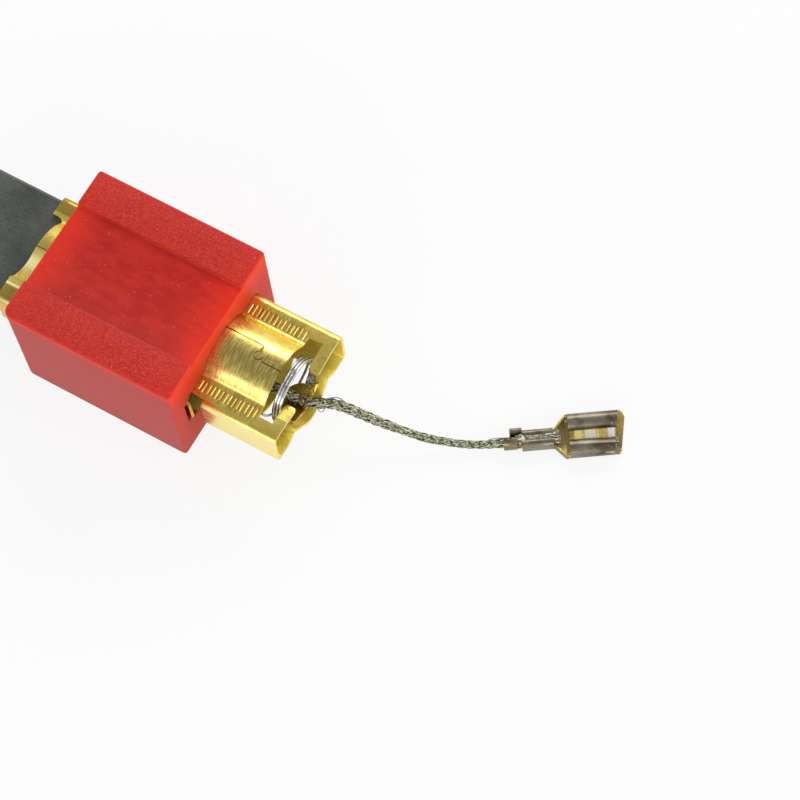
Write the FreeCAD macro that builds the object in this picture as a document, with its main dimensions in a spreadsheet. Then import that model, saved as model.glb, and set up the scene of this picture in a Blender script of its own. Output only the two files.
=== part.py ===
"""Carbon brush in its holder: a sprung carbon in a folded brass tube, held by a moulded block.

X runs along the brush from the carbon's contact end (-X) to the lead (+X), Y is across, Z is up.
The origin is the middle of the block's underside. Lengths are millimetres, angles degrees.
"""
import FreeCAD, Part
import math
import os

import Sketcher

Vector = FreeCAD.Vector

SIZES = {
    # moulded block
    "block_length": 23.6,
    "block_width": 22.0,
    "block_height": 16.7,
    "groove_width": 11.8,
    "groove_depth": 0.55,
    "long_edge_radius": 0.35,
    "post_radius": 1.2,
    "passage_clearance": 0.05,
    "recess_depth": 1.6,
    "recess_reach": 0.9,
    # folded brass tube
    "tube_width": 16.0,
    "tube_height": 6.0,
    "tube_front": 15.9,
    "tube_rear": 23.8,
    "brass_gauge": 0.4,
    "bulge_radius": 5.46,
    "valley_radius": 1.0,
    "fold_radius": 0.9,
    "bulge_setback": 1.7,
    "near_sweep_radius": 3.5,
    "far_sweep_radius": 0.9,
    # windows and ears at the tube's rear end
    "window_front": 20.4,
    "window_half_width": 5.9,
    "ear_front": 22.35,
    "far_ear_end": 2.1,
    "near_ear_end": 2.8,
    "ear_drop": 0.45,
    "lower_window_front": 18.5,
    "lower_window_half_width": 4.7,
    "tongue_radius": 2.5,
    "tongue_tip": 19.4,
    "tongue_clearance": 0.12,
    "shelf_length": 0.6,
    "shelf_half_width": 3.1,
    "shelf_depth": 0.25,
    "trough_depth": 5.35,
    "trough_radius": 2.5,
    "trough_ear_height": 1.5,
    "trough_ear_half_width": 4.1,
    "trough_ear_radius": 0.7,
    # barb that locks the tube in the block
    "barb_slot_front": 10.6,
    "barb_slot_rear": 13.5,
    "barb_slot_depth": 1.35,
    "barb_length": 1.5,
    "barb_height": 3.7,
    "barb_spread": 0.55,
    # carbon and its tamped contact plug
    "carbon_length": 36.0,
    "carbon_clearance": 0.1,
    "carbon_rear": 1.3,
    "carbon_chamfer": 0.4,
    "plug_radius": 1.6,
    "plug_depth": 4.5,
    # spring
    "spring_radius": 4.3,
    "spring_wire": 0.36,
    "spring_end_turns": 3.0,
    "spring_free_turns": 6.0,
    "spring_seat_gap": 0.03,
    "spring_turn_gap": 0.02,
    # braided lead
    "lead_diameter": 1.4,
    "weld_diameter": 1.8,
    # crimped receptacle
    "strip_gauge": 0.35,
    "terminal_heading": 34.0,
    "grip_length": 1.7,
    "grip_width": 2.2,
    "grip_height": 1.9,
    "crimp_front": 2.2,
    "crimp_length": 3.9,
    "crimp_width": 2.4,
    "crimp_height": 1.9,
    "neck_length": 1.5,
    "neck_height": 1.2,
    "socket_length": 7.5,
    "socket_width": 5.7,
    "socket_height": 2.3,
    "lip_height": 1.3,
    "mouth_slant": 0.55,
}

TUBE_AXIS = "Sizes.block_height / 2"

doc = FreeCAD.newDocument("carbon_brush")
sheet = doc.addObject("Spreadsheet::Sheet", "Sizes")
for row, (alias, value) in enumerate(SIZES.items(), start=1):
    sheet.set(f"A{row}", alias)
    sheet.set(f"B{row}", str(value))
    sheet.setAlias(f"B{row}", alias)
doc.recompute()


def size(alias):
    """A driving dimension, read back from the sheet."""
    return float(sheet.get(alias))


def worked_out(expression):
    """The number that an expression on the sheet's cells gives."""
    return float(sheet.evalExpression(expression))


# Sketches, pads and booleans, all bound to the sheet


def draw_outline(sketch, corners):
    """A closed outline of straight lines, each corner held to two expressions."""
    places = [tuple(worked_out(part) for part in corner) for corner in corners]
    count = len(places)
    for index, place in enumerate(places):
        following = places[(index + 1) % count]
        sketch.addGeometry(Part.LineSegment(Vector(*place, 0), Vector(*following, 0)))
    for index in range(count):
        sketch.addConstraint(Sketcher.Constraint("Coincident", index, 2, (index + 1) % count, 1))
    for index, place in enumerate(places):
        for kind, axis, part in (("DistanceX", -2, 0), ("DistanceY", -1, 1)):
            if abs(place[part]) < 1e-9:
                sketch.addConstraint(Sketcher.Constraint("PointOnObject", index, 1, axis))
                continue
            number = sketch.addConstraint(Sketcher.Constraint(kind, -1, 1, index, 1, place[part]))
            sketch.setExpression(f"Constraints[{number}]", corners[index][part])


def new_sketch(body, name, role, offset):
    """A sketch on one of the body's own planes, moved from it by three expressions."""
    sketch = body.newObject("Sketcher::SketchObject", name)
    plane = next(item for item in body.Origin.OriginFeatures if item.Role == role)
    sketch.AttachmentSupport = [(plane, "")]
    sketch.MapMode = "FlatFace"
    for axis, expression in zip("xyz", offset):
        sketch.setExpression(f"AttachmentOffset.Base.{axis}", expression)
    return sketch


def prism(name, draw, front, length, height=TUBE_AXIS):
    """A body whose section across the brush, drawn about a height, is swept along X."""
    body = doc.addObject("PartDesign::Body", name)
    sketch = new_sketch(body, f"{name}_section", "YZ_Plane", ("0 mm", f"({height}) * 1 mm", f"({front}) * 1 mm"))
    draw(sketch)
    pad = body.newObject("PartDesign::Pad", f"{name}_pad")
    pad.Profile = sketch
    pad.setExpression("Length", length)
    doc.recompute()
    return body


def edges_along(shape, direction, chosen):
    """Names of the straight edges that run along a direction and whose middle is chosen."""
    names = []
    for number, edge in enumerate(shape.Edges, start=1):
        start, end = edge.Vertexes[0].Point, edge.Vertexes[-1].Point
        run = end - start
        if run.Length > 1e-6 and abs(run.normalize().dot(direction)) > 1 - 1e-6 and chosen(edge.CenterOfMass):
            names.append(f"Edge{number}")
    return names


def soften(body, name, radius, direction, chosen, kind="Fillet"):
    """A fillet or chamfer on chosen straight edges of a body."""
    base = body.Tip
    feature = body.newObject(f"PartDesign::{kind}", name)
    feature.Base = (base, edges_along(base.Shape, direction, chosen))
    feature.setExpression("Radius" if kind == "Fillet" else "Size", radius)
    doc.recompute()
    return feature


def slab(name, lows, highs):
    """A box between two corners, each given by three expressions."""
    box = doc.addObject("Part::Box", name)
    for axis, side, low, high in zip("xyz", ("Length", "Width", "Height"), lows, highs):
        box.setExpression(side, f"({high}) - ({low})")
        box.setExpression(f".Placement.Base.{axis}", low)
    return box


def join(name, pieces):
    """One solid from pieces that meet."""
    fused = doc.addObject("Part::MultiFuse", name)
    fused.Shapes = pieces
    fused.Refine = True
    return fused


def cut(name, base, tool):
    """Base with tool taken away."""
    result = doc.addObject("Part::Cut", name)
    result.Base = base
    result.Tool = tool
    result.Refine = True
    doc.recompute()
    return result


def finished(name, shape, base=Vector(0, 0, 0), turn=0.0):
    """A sub-part whose shape is worked out here from the sheet, placed after its shape is set."""
    feature = doc.addObject("Part::Feature", name)
    feature.Shape = shape
    feature.Placement = FreeCAD.Placement(base, FreeCAD.Rotation(Vector(0, 0, 1), turn))
    return feature


# Sections of folded strip and round stock along a route


def rounded_route(points, radii):
    """Edges of straight runs joined by tangent arcs: one radius for each inner point."""
    edges, start = [], points[0]
    for index in range(1, len(points) - 1):
        before = (points[index - 1] - points[index]).normalize()
        after = (points[index + 1] - points[index]).normalize()
        half_turn = (math.pi - before.getAngle(after)) / 2
        setback = radii[index - 1] * math.tan(half_turn)
        towards_centre = (before + after).normalize()
        centre = points[index] + towards_centre * (radii[index - 1] / math.cos(half_turn))
        entry, leave = points[index] + before * setback, points[index] + after * setback
        middle = centre - towards_centre * radii[index - 1]
        if (entry - start).Length > 1e-6:
            edges.append(Part.LineSegment(start, entry).toShape())
        edges.append(Part.Arc(entry, middle, leave).toShape())
        start = leave
    edges.append(Part.LineSegment(start, points[-1]).toShape())
    return edges


def offset_route(points, radii, distance):
    """The same folded line in the YZ plane, moved sideways by a distance, its radii with it."""
    across = []
    for first, second in zip(points, points[1:]):
        run = (second - first).normalize()
        across.append(Vector(0, -run.z, run.y))
    moved = [points[0] + across[0] * distance]
    new_radii = []
    for index in range(1, len(points) - 1):
        before, after = across[index - 1], across[index]
        mitre = (before + after).normalize()
        moved.append(points[index] + mitre * (distance / mitre.dot(before)))
        turns_left = before.cross(after).x > 0
        new_radii.append(radii[index - 1] + (-distance if turns_left else distance))
    moved.append(points[-1] + across[-1] * distance)
    return moved, new_radii


def folded_strip(middle_line, radii, gauge, front, length):
    """Sheet of one gauge, folded along a line in the YZ plane and swept along X."""
    left, left_radii = offset_route(middle_line, radii, gauge / 2)
    right, right_radii = offset_route(middle_line, radii, -gauge / 2)
    edges = rounded_route(left, left_radii)
    edges.append(Part.LineSegment(left[-1], right[-1]).toShape())
    edges += rounded_route(right[::-1], right_radii[::-1])
    edges.append(Part.LineSegment(right[0], left[0]).toShape())
    face = Part.Face(Part.Wire(Part.__sortEdges__(edges)))
    face.translate(Vector(front, 0, 0))
    return face.extrude(Vector(length, 0, 0))


def tube_along(points, diameter, label):
    """Round stock along a route of straight runs and the widest tangent arcs that they allow."""
    radii = []
    for index in range(1, len(points) - 1):
        before, after = points[index] - points[index - 1], points[index + 1] - points[index]
        half_turn = before.getAngle(after) / 2
        radii.append(0.45 * min(before.Length, after.Length) / math.tan(half_turn))
    path = Part.Wire(rounded_route(points, radii))
    ring = Part.Circle(points[0], points[1] - points[0], diameter / 2).toShape()
    solid = path.makePipeShell([Part.Wire(ring)], True, False)
    expected = math.pi * diameter ** 2 / 4 * path.Length
    print(f"{label}: length {path.Length:.2f} mm, arc radii {[round(radius, 1) for radius in radii]} mm,")
    print(f"  volume {solid.Volume:.3f} mm3 against section times length {expected:.3f} mm3")
    return solid


# The tube's section: flats at each side and a round bulge above and below

FOOT = ("sqrt((Sizes.bulge_radius + Sizes.valley_radius)^2"
        " - (Sizes.tube_height / 2 + Sizes.valley_radius)^2)")


def draw_tube_section(sketch, grow):
    """The tube's outer form, grown all round by an expression: arcs and lines, each tangent to the next."""
    reach = {"bulge": f"Sizes.bulge_radius + ({grow})", "valley": f"Sizes.valley_radius - ({grow})",
             "fold": f"Sizes.fold_radius + ({grow})", "flat": f"Sizes.tube_height / 2 + ({grow})",
             "side": f"Sizes.tube_width / 2 + ({grow})"}
    at = {name: worked_out(expression) for name, expression in reach.items()}
    foot = worked_out(FOOT)
    touch = math.degrees(math.acos((at["flat"] + at["valley"]) / (at["bulge"] + at["valley"])))
    outline = []

    def add_arc(kind, centre, start, end):
        circle = Part.Circle(Vector(*centre, 0), Vector(0, 0, 1), at[kind])
        shape = Part.ArcOfCircle(circle, math.radians(start), math.radians(end))
        outline.append((kind, sketch.addGeometry(shape)))

    def add_line(kind, start, end):
        outline.append((kind, sketch.addGeometry(Part.LineSegment(Vector(*start, 0), Vector(*end, 0)))))

    flat_end, side_end = at["side"] - at["fold"], at["flat"] - at["fold"]
    for up in (1, -1):
        half_turn = 0 if up > 0 else 180
        add_arc("bulge", (0, 0), half_turn + 90 - touch, half_turn + 90 + touch)
        add_arc("valley", (-up * foot, up * (at["flat"] + at["valley"])), half_turn + 270,
                half_turn + 270 + touch)
        add_line("flat", (-up * foot, up * at["flat"]), (-up * flat_end, up * at["flat"]))
        add_arc("fold", (-up * flat_end, up * side_end), half_turn + 90, half_turn + 180)
        add_line("side", (-up * at["side"], up * side_end), (-up * at["side"], -up * side_end))
        add_arc("fold", (-up * flat_end, -up * side_end), half_turn + 180, half_turn + 270)
        add_line("flat", (-up * flat_end, -up * at["flat"]), (-up * foot, -up * at["flat"]))
        add_arc("valley", (-up * foot, -up * (at["flat"] + at["valley"])), half_turn + 90 - touch,
                half_turn + 90)

    def ends(index):
        """First and last point of one piece, as the outline runs anticlockwise; valleys run clockwise."""
        return (2, 1) if outline[index][0] == "valley" else (1, 2)

    for index, (_, piece) in enumerate(outline):
        following = (index + 1) % len(outline)
        sketch.addConstraint(Sketcher.Constraint("Tangent", piece, ends(index)[1],
                                                 outline[following][1], ends(following)[0]))
    for kind, piece in outline:
        if kind in ("bulge", "valley", "fold"):
            number = sketch.addConstraint(Sketcher.Constraint("Radius", piece, at[kind]))
            sketch.setExpression(f"Constraints[{number}]", reach[kind])
        if kind == "bulge":
            sketch.addConstraint(Sketcher.Constraint("Coincident", piece, 3, -1, 1))
        if kind in ("flat", "side"):
            start = sketch.Geometry[piece].StartPoint
            distance, place = ("DistanceY", start.y) if kind == "flat" else ("DistanceX", start.x)
            sketch.addConstraint(Sketcher.Constraint("Horizontal" if kind == "flat" else "Vertical", piece))
            number = sketch.addConstraint(Sketcher.Constraint(distance, -1, 1, piece, 1, place))
            sketch.setExpression(f"Constraints[{number}]", reach[kind] if place > 0 else f"-({reach[kind]})")


def bulged_prism(name, grow, front, length):
    """A body with the tube's outer form, grown or shrunk all round by an expression."""
    return prism(name, lambda sketch: draw_tube_section(sketch, grow), front, length)


def make_block():
    """Moulded block: a shallow groove along its top, the tube's passage and the barb's recess."""
    half, groove = "Sizes.block_width / 2", "Sizes.groove_width / 2"
    top, floor = "Sizes.block_height", "(Sizes.block_height - Sizes.groove_depth)"
    corners = [(f"-{half}", "0"), (half, "0"), (half, top), (groove, top), (groove, floor),
               (f"-{groove}", floor), (f"-{groove}", top), (f"-{half}", top)]
    body = prism("block_form", lambda sketch: draw_outline(sketch, corners), "-Sizes.block_length / 2",
                 "Sizes.block_length", "0")
    front, side = -size("block_length") / 2, size("block_width") / 2
    soften(body, "block_near_post", "Sizes.post_radius", Vector(0, 0, 1),
           lambda c: abs(c.x - front) < 0.01 and abs(c.y + side) < 0.01)
    soften(body, "block_long_edges", "Sizes.long_edge_radius", Vector(1, 0, 0),
           lambda c: abs(abs(c.y) - side) < 0.01)
    passage = bulged_prism("passage", "Sizes.passage_clearance", "-Sizes.block_length / 2 - 1",
                           "Sizes.block_length + 2")
    wall = "(Sizes.tube_width / 2)"
    lows = ["Sizes.block_length / 2 - Sizes.recess_depth", f"-{wall} - Sizes.recess_reach",
            f"{TUBE_AXIS} - Sizes.tube_height / 2 + Sizes.fold_radius"]
    highs = ["Sizes.block_length / 2 + 1", "0",
             f"{TUBE_AXIS} + Sizes.tube_height / 2 - Sizes.fold_radius"]
    recess = slab("barb_recess", lows, highs)
    return cut("insulator_block", body, join("block_voids", [passage, recess]))


def make_tube():
    """Brass tube, folded from one sheet: two windows, ears for the spring, a tongue and a barb."""
    length = "Sizes.tube_front + Sizes.tube_rear"
    form = bulged_prism("tube_form", "0", "-Sizes.tube_front", length)
    void = bulged_prism("tube_void", "-Sizes.brass_gauge", "-Sizes.tube_front - 1", f"{length} + 2")
    beyond, far_up, near_middle = "Sizes.tube_rear + 1", "Sizes.bulge_radius + 1", "Sizes.brass_gauge"

    def opening(name, front, rear, half_width, above):
        low, high = (near_middle, far_up) if above else (f"-({far_up})", f"-({near_middle})")
        return slab(name, [front, f"-({half_width})", f"{TUBE_AXIS} + {low}"],
                    [rear, half_width, f"{TUBE_AXIS} + {high}"])

    upper_window = opening("upper_window", "Sizes.window_front", "Sizes.ear_front",
                           "Sizes.window_half_width", True)
    upper_end = opening("upper_end", "Sizes.ear_front", beyond, FOOT, True)
    lower_window = opening("lower_window", "Sizes.lower_window_front", "Sizes.ear_front",
                           "Sizes.lower_window_half_width", False)
    lower_end = opening("lower_end", "Sizes.ear_front", beyond, FOOT, False)
    setbacks = []
    for name, above in (("upper_setback", True), ("lower_setback", False)):
        box = opening(f"{name}_box", "-Sizes.tube_front - Sizes.near_sweep_radius",
                      "-Sizes.tube_front + Sizes.bulge_setback", FOOT, above)
        doc.recompute()
        rounded = doc.addObject("Part::Fillet", name)
        rounded.Base = box
        inner_end = -size("tube_front") + size("bulge_setback")
        near = edges_along(box.Shape, Vector(0, 0, 1), lambda c: abs(c.x - inner_end) < 0.01 and c.y < 0)
        far = edges_along(box.Shape, Vector(0, 0, 1), lambda c: abs(c.x - inner_end) < 0.01 and c.y > 0)
        corners = [(edge, size("near_sweep_radius")) for edge in near]
        corners += [(edge, size("far_sweep_radius")) for edge in far]
        rounded.Edges = [(int(edge[4:]), radius, radius) for edge, radius in corners]
        setbacks.append(rounded)
    slot = slab("barb_slot", ["Sizes.barb_slot_front", "-Sizes.tube_width", f"{TUBE_AXIS} - Sizes.tube_height"],
                ["Sizes.barb_slot_rear", "-Sizes.tube_width / 2 + Sizes.barb_slot_depth",
                 f"{TUBE_AXIS} + Sizes.tube_height"])
    shell = cut("tube_shell", form, void)
    openings = join("tube_openings", [upper_window, upper_end, lower_window, lower_end, slot] + setbacks)
    pierced = cut("tube_pierced", shell, openings)
    return join("brush_tube", [pierced] + make_ears() + [make_tongue(), make_barb()])


def make_ears():
    """Upper ears slope down towards the lead; below them the sheet is pressed into one trough."""
    gauge, middle = size("brass_gauge"), worked_out(TUBE_AXIS)
    foot, flat = worked_out(FOOT), size("tube_height") / 2 - gauge / 2
    front, length = size("ear_front"), size("tube_rear") - size("ear_front")
    bend = gauge
    ears = []
    for name, side in (("far_ear", 1), ("near_ear", -1)):
        end = side * size(f"{name}_end")
        line = [Vector(0, side * (foot + gauge), middle + flat), Vector(0, side * foot, middle + flat),
                Vector(0, end, middle + flat - size("ear_drop"))]
        ears.append(finished(name, folded_strip(line, [bend], gauge, front, length)))
    hollow = middle - size("trough_ear_height") - gauge / 2
    half = size("trough_ear_half_width")
    apex = hollow - trough_apex()
    line = [Vector(0, foot + gauge, middle - flat), Vector(0, foot, middle - flat), Vector(0, half, hollow),
            Vector(0, 0, apex), Vector(0, -half, hollow), Vector(0, -foot, middle - flat),
            Vector(0, -foot - gauge, middle - flat)]
    radii = [bend, size("trough_ear_radius"), size("trough_radius") - gauge / 2, size("trough_ear_radius"), bend]
    ears.append(finished("trough", folded_strip(line, radii, gauge, front, length)))
    return ears


def make_tongue():
    """Rounded tongue inside the spring's coil, on a shelf that closes with the trough's flanks."""
    tip, reach, root = size("tongue_tip"), size("tongue_radius"), size("ear_front")
    middle, rear = worked_out(TUBE_AXIS), size("ear_front") + size("shelf_length")
    outside = size("spring_radius") - size("spring_wire") / 2 - size("tongue_clearance")
    half = size("shelf_half_width")

    def wall(front, end, outer):
        start, along = Vector(front, 0, middle), Vector(1, 0, 0)
        core = Part.makeCylinder(outside - size("brass_gauge"), end - front, start, along)
        return Part.makeCylinder(outer, end - front, start, along).cut(core)

    rounding = Part.makeCylinder(reach, middle, Vector(tip + reach, 0, 0))
    stem = Part.makeBox(rear - tip - reach, 2 * reach, middle, Vector(tip + reach, -reach, 0))
    tongue = wall(tip, rear, outside).common(rounding.fuse(stem))
    bed = Part.makeBox(rear - root, 2 * half, middle, Vector(root, -half, 0))
    shelf = wall(root, rear, outside + size("shelf_depth")).common(bed)
    return finished("tongue", tongue.fuse(shelf).removeSplitter())


def trough_apex():
    """How far below the ears the flanks would meet, for a round bottom at the trough's depth."""
    radius = size("trough_radius") - size("brass_gauge") / 2
    drop = size("trough_depth") - size("brass_gauge") - size("trough_ear_height")
    apex = drop
    for _ in range(30):
        slope = math.atan2(apex, size("trough_ear_half_width"))
        apex = drop + radius * (1 / math.cos(slope) - 1)
    return apex


def make_barb():
    """A tongue of the near side wall, bent outwards into the block's recess."""
    gauge, middle = size("brass_gauge"), worked_out(TUBE_AXIS)
    outside, root = size("tube_width") / 2, size("barb_slot_front")
    half_height, spread = size("barb_height") / 2, size("barb_spread")
    tip = root + size("barb_length")
    outline = [(root - gauge, outside), (root, outside), (tip, outside + spread),
               (tip, outside + spread - gauge), (root, outside - gauge), (root - gauge, outside - gauge)]
    corners = [Vector(x, -y, middle - half_height) for x, y in outline]
    face = Part.Face(Part.makePolygon(corners + corners[:1]))
    return finished("near_barb", face.extrude(Vector(0, 0, 2 * half_height)))


def make_carbon():
    """Pressed carbon, bevelled all along, with a bore in its rear face for the lead's contact plug."""
    half_width = "(Sizes.tube_width / 2 - Sizes.brass_gauge - Sizes.carbon_clearance)"
    half_height = "(Sizes.tube_height / 2 - Sizes.brass_gauge - Sizes.carbon_clearance)"
    corners = [(f"-{half_width}", f"-{half_height}"), (half_width, f"-{half_height}"),
               (half_width, half_height), (f"-{half_width}", half_height)]
    body = prism("carbon_block", lambda sketch: draw_outline(sketch, corners),
                 "Sizes.carbon_rear - Sizes.carbon_length", "Sizes.carbon_length")
    soften(body, "carbon_bevels", "Sizes.carbon_chamfer", Vector(1, 0, 0), lambda c: True, "Chamfer")
    sketch = new_sketch(body, "carbon_bore_ring", "YZ_Plane",
                        ("0 mm", f"({TUBE_AXIS}) * 1 mm", "Sizes.carbon_rear * 1 mm"))
    sketch.addGeometry(Part.Circle(Vector(0, 0, 0), Vector(0, 0, 1), size("plug_radius")))
    sketch.addConstraint(Sketcher.Constraint("Coincident", 0, 3, -1, 1))
    number = sketch.addConstraint(Sketcher.Constraint("Radius", 0, size("plug_radius")))
    sketch.setExpression(f"Constraints[{number}]", "Sizes.plug_radius")
    before = body.Tip.Shape.Volume
    bore = body.newObject("PartDesign::Pocket", "carbon_bore")
    bore.Profile = sketch
    bore.setExpression("Length", "Sizes.plug_depth")
    doc.recompute()
    removed = before - bore.Shape.Volume
    expected = math.pi * size("plug_radius") ** 2 * size("plug_depth")
    print(f"carbon bore took {removed:.3f} mm3 of {expected:.3f} mm3")
    if abs(removed - expected) > 0.01 * expected:
        raise ValueError("the carbon's bore points the wrong way")
    return body


def make_plug():
    """Tamped copper powder that fixes the lead in the carbon, flush with its rear face."""
    plug = doc.addObject("Part::Cylinder", "contact_plug")
    plug.setExpression("Radius", "Sizes.plug_radius")
    plug.setExpression("Height", "Sizes.plug_depth")
    plug.Placement = FreeCAD.Placement(Vector(0, 0, 0), FreeCAD.Rotation(Vector(0, 1, 0), 90))
    plug.setExpression(".Placement.Base.x", "Sizes.carbon_rear - Sizes.plug_depth")
    plug.setExpression(".Placement.Base.z", TUBE_AXIS)
    return plug


CORNERS_PER_TURN = 12
ARC_SHARE = 0.96


def make_spring():
    """Compression spring with closed end turns, between the carbon's rear face and the ears.

    The wire's line is short straight runs that touch the spring's circle, joined by tangent arcs.
    """
    radius, wire, seat = size("spring_radius"), size("spring_wire"), size("spring_seat_gap")
    start = size("carbon_rear") + seat + wire / 2
    end = size("ear_front") - seat - wire / 2
    end_turns, free_turns = size("spring_end_turns"), size("spring_free_turns")
    closed_pitch = wire + size("spring_turn_gap")
    open_pitch = (end - start - 2 * end_turns * closed_pitch) / free_turns

    def coil_point(turn, reach):
        closed = min(turn, end_turns) + max(turn - end_turns - free_turns, 0)
        free = min(max(turn - end_turns, 0), free_turns)
        angle = 2 * math.pi * turn
        return Vector(start + closed * closed_pitch + free * open_pitch,
                      reach * math.cos(angle), worked_out(TUBE_AXIS) + reach * math.sin(angle))

    turns = 2 * end_turns + free_turns
    corner_reach = radius / math.cos(math.pi / CORNERS_PER_TURN)
    corners = [coil_point((index + 0.5) / CORNERS_PER_TURN, corner_reach)
               for index in range(round(turns * CORNERS_PER_TURN))]
    points = [coil_point(0, radius)] + corners + [coil_point(turns, radius)]
    path = Part.Wire(rounded_route(points, [ARC_SHARE * radius] * len(corners)))
    ring = Part.Circle(points[0], points[1] - points[0], wire / 2).toShape()
    return finished("spring", path.makePipeShell([Part.Wire(ring)], True, False))


# The lead's route: hand-placed points, in millimetres

LEAD_INSIDE = [(1.3, 0.0, 8.35), (6.0, 0.0, 8.35), (12.0, -0.15, 7.85), (17.4, -0.3, 6.85), (20.2, -0.05, 6.2),
               (21.9, 0.25, 5.55)]
LEAD_WELDED = [(21.9, 0.25, 5.55), (22.8, 0.5, 5.35), (23.5, 0.92, 4.8), (24.1, 1.42, 4.4)]
LEAD_OUTSIDE = [(24.1, 1.42, 4.4), (25.55, 2.15, 4.38), (27.4, 2.5, 4.2), (30.2, 2.88, 3.55), (33.2, 3.52, 2.7),
                (36.1, 4.25, 1.85), (38.9, 5.25, 1.25), (41.6, 6.4, 0.95), (43.9, 7.72, 0.9), (45.6, 8.9, 0.98),
                (47.1, 10.0, 1.05)]


def route(points):
    """Points of the lead as vectors."""
    return [Vector(*point) for point in points]


def make_lead():
    """Braided lead: the tether inside the spring, the pad welded to the tongue, and the free end."""
    diameter = size("lead_diameter")
    return [finished("lead_inner", tube_along(route(LEAD_INSIDE), diameter, "lead_inner")),
            finished("lead_weld", tube_along(route(LEAD_WELDED), size("weld_diameter"), "lead_weld")),
            finished("lead_outer", tube_along(route(LEAD_OUTSIDE), diameter, "lead_outer"))]


def make_terminal():
    """Receptacle stamped from one strip: grips, a crimp, a flared neck and a curled socket."""
    gauge, width = size("strip_gauge"), size("grip_width")
    side = width / 2 - gauge / 2
    grip_line = [Vector(0, -side, size("grip_height")), Vector(0, -side, gauge / 2),
                 Vector(0, side, gauge / 2), Vector(0, side, size("grip_height"))]
    grip = folded_strip(grip_line, [gauge, gauge], gauge, 0, size("grip_length"))
    web = Part.makeBox(size("crimp_front") - size("grip_length"), width - 4 * gauge, gauge,
                       Vector(size("grip_length"), -width / 2 + 2 * gauge, 0))
    neck_front = size("crimp_front") + size("crimp_length")
    socket_front = neck_front + size("neck_length")
    pieces = [web, make_crimp(), make_neck(neck_front, socket_front), make_socket(socket_front)]
    shape = grip.multiFuse(pieces).removeSplitter()
    heading = math.radians(size("terminal_heading"))
    along = Vector(math.cos(heading), math.sin(heading), 0)
    place = Vector(*LEAD_OUTSIDE[-1]) - along * size("crimp_front")
    return finished("receptacle_terminal", shape, Vector(place.x, place.y, 0), size("terminal_heading"))


def make_neck(front, rear):
    """The neck: a floor and two side walls that flare from the crimp to the socket's rolls."""
    gauge, height = size("strip_gauge"), size("neck_height")
    narrow, wide = size("crimp_width") / 2, size("socket_width") / 2 - size("strip_gauge")

    def trapezium(inset, start, end, floor, top):
        corners = [Vector(start, inset - narrow, floor), Vector(end, inset - wide, floor),
                   Vector(end, wide - inset, floor), Vector(start, narrow - inset, floor)]
        return Part.Face(Part.makePolygon(corners + corners[:1])).extrude(Vector(0, 0, top - floor))

    return trapezium(0, front, rear, 0, height).cut(trapezium(gauge, front, rear, gauge, height))


def make_crimp():
    """The crimp: two wings rolled down into the strands, closed tight like a letter B."""
    front, length = size("crimp_front"), size("crimp_length")
    width, height = size("crimp_width"), size("crimp_height")
    lobe = width / 4
    base = Part.makeBox(length, width, height - lobe, Vector(front, -width / 2, 0))
    lobes = []
    for side in (-1, 1):
        lobes.append(Part.makeCylinder(lobe, length, Vector(front, side * lobe, height - lobe), Vector(1, 0, 0)))
    crimp = base.multiFuse(lobes).removeSplitter()
    bottom = [edge for edge in crimp.Edges
              if abs(edge.CenterOfMass.z) < 1e-6 and abs(abs(edge.CenterOfMass.y) - width / 2) < 1e-6]
    return crimp.makeFillet(size("strip_gauge"), bottom)


def make_socket(front):
    """The socket: a floor whose sides roll up and over, until their lips press on a tab.

    Its mouth is cut back at a slant, so that the rolls end short of the floor.
    """
    gauge, width, height = size("strip_gauge"), size("socket_width"), size("socket_height")
    length, roll = size("socket_length"), size("socket_height") / 2
    floor = Part.makeBox(length, width - height, gauge, Vector(front, -(width - height) / 2, 0))
    rolls = []
    for side in (-1, 1):
        centre = Vector(front, side * (width / 2 - roll), roll)
        ring = Part.makeCylinder(roll, length, centre, Vector(1, 0, 0)).cut(
            Part.makeCylinder(roll - gauge, length, centre, Vector(1, 0, 0)))
        below_lip = Part.makeBox(length, roll, size("lip_height"),
                                 centre + Vector(0, -roll if side > 0 else 0, -roll))
        rolls.append(ring.cut(below_lip))
    mouth = front + length
    wedge = [Vector(mouth, -width, gauge), Vector(mouth, -width, height),
             Vector(mouth - size("mouth_slant"), -width, height)]
    slant = Part.Face(Part.makePolygon(wedge + wedge[:1])).extrude(Vector(0, 2 * width, 0))
    return floor.multiFuse(rolls).cut(slant)


# Assembly: every finished sub-part, checked and written

SUB_PARTS = [make_block(), make_tube(), make_carbon(), make_plug(), make_spring(), *make_lead(), make_terminal()]
for item in SUB_PARTS:
    item.Label = item.Name
doc.recompute()

faults = [item.Name for item in doc.Objects if "Invalid" in item.State or "Error" in item.State]
for item in SUB_PARTS:
    if item.Shape.isNull() or not item.Shape.isValid():
        faults.append(f"{item.Label} shape")
if faults:
    raise ValueError(f"faults in: {', '.join(faults)}")

os.makedirs("parts", exist_ok=True)
for item in SUB_PARTS:
    item.Shape.exportStep(f"parts/{item.Label}.step")
    print(f"{item.Label}: {len(item.Shape.Solids)} solid, {item.Shape.Volume:.2f} mm3")
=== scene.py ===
# %% [markdown]
# Carbon brush with its holder. A moulded red block grips a tube folded from sheet brass. A carbon bar
# slides in the tube, a coil spring pushes it out, and a braided lead carries the current from the carbon
# to a push-on receptacle. The solids come from the construction model as a fixed frame, in metres, and
# every piece here is built to its own place in that frame, so nothing has to be fitted afterwards. Some
# pieces are made a little uneven by noise. Its seed is fixed here, so that every run gives the same object.

# %% Load the frame
import math

import bpy
from mathutils import Matrix, Vector, noise


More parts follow.
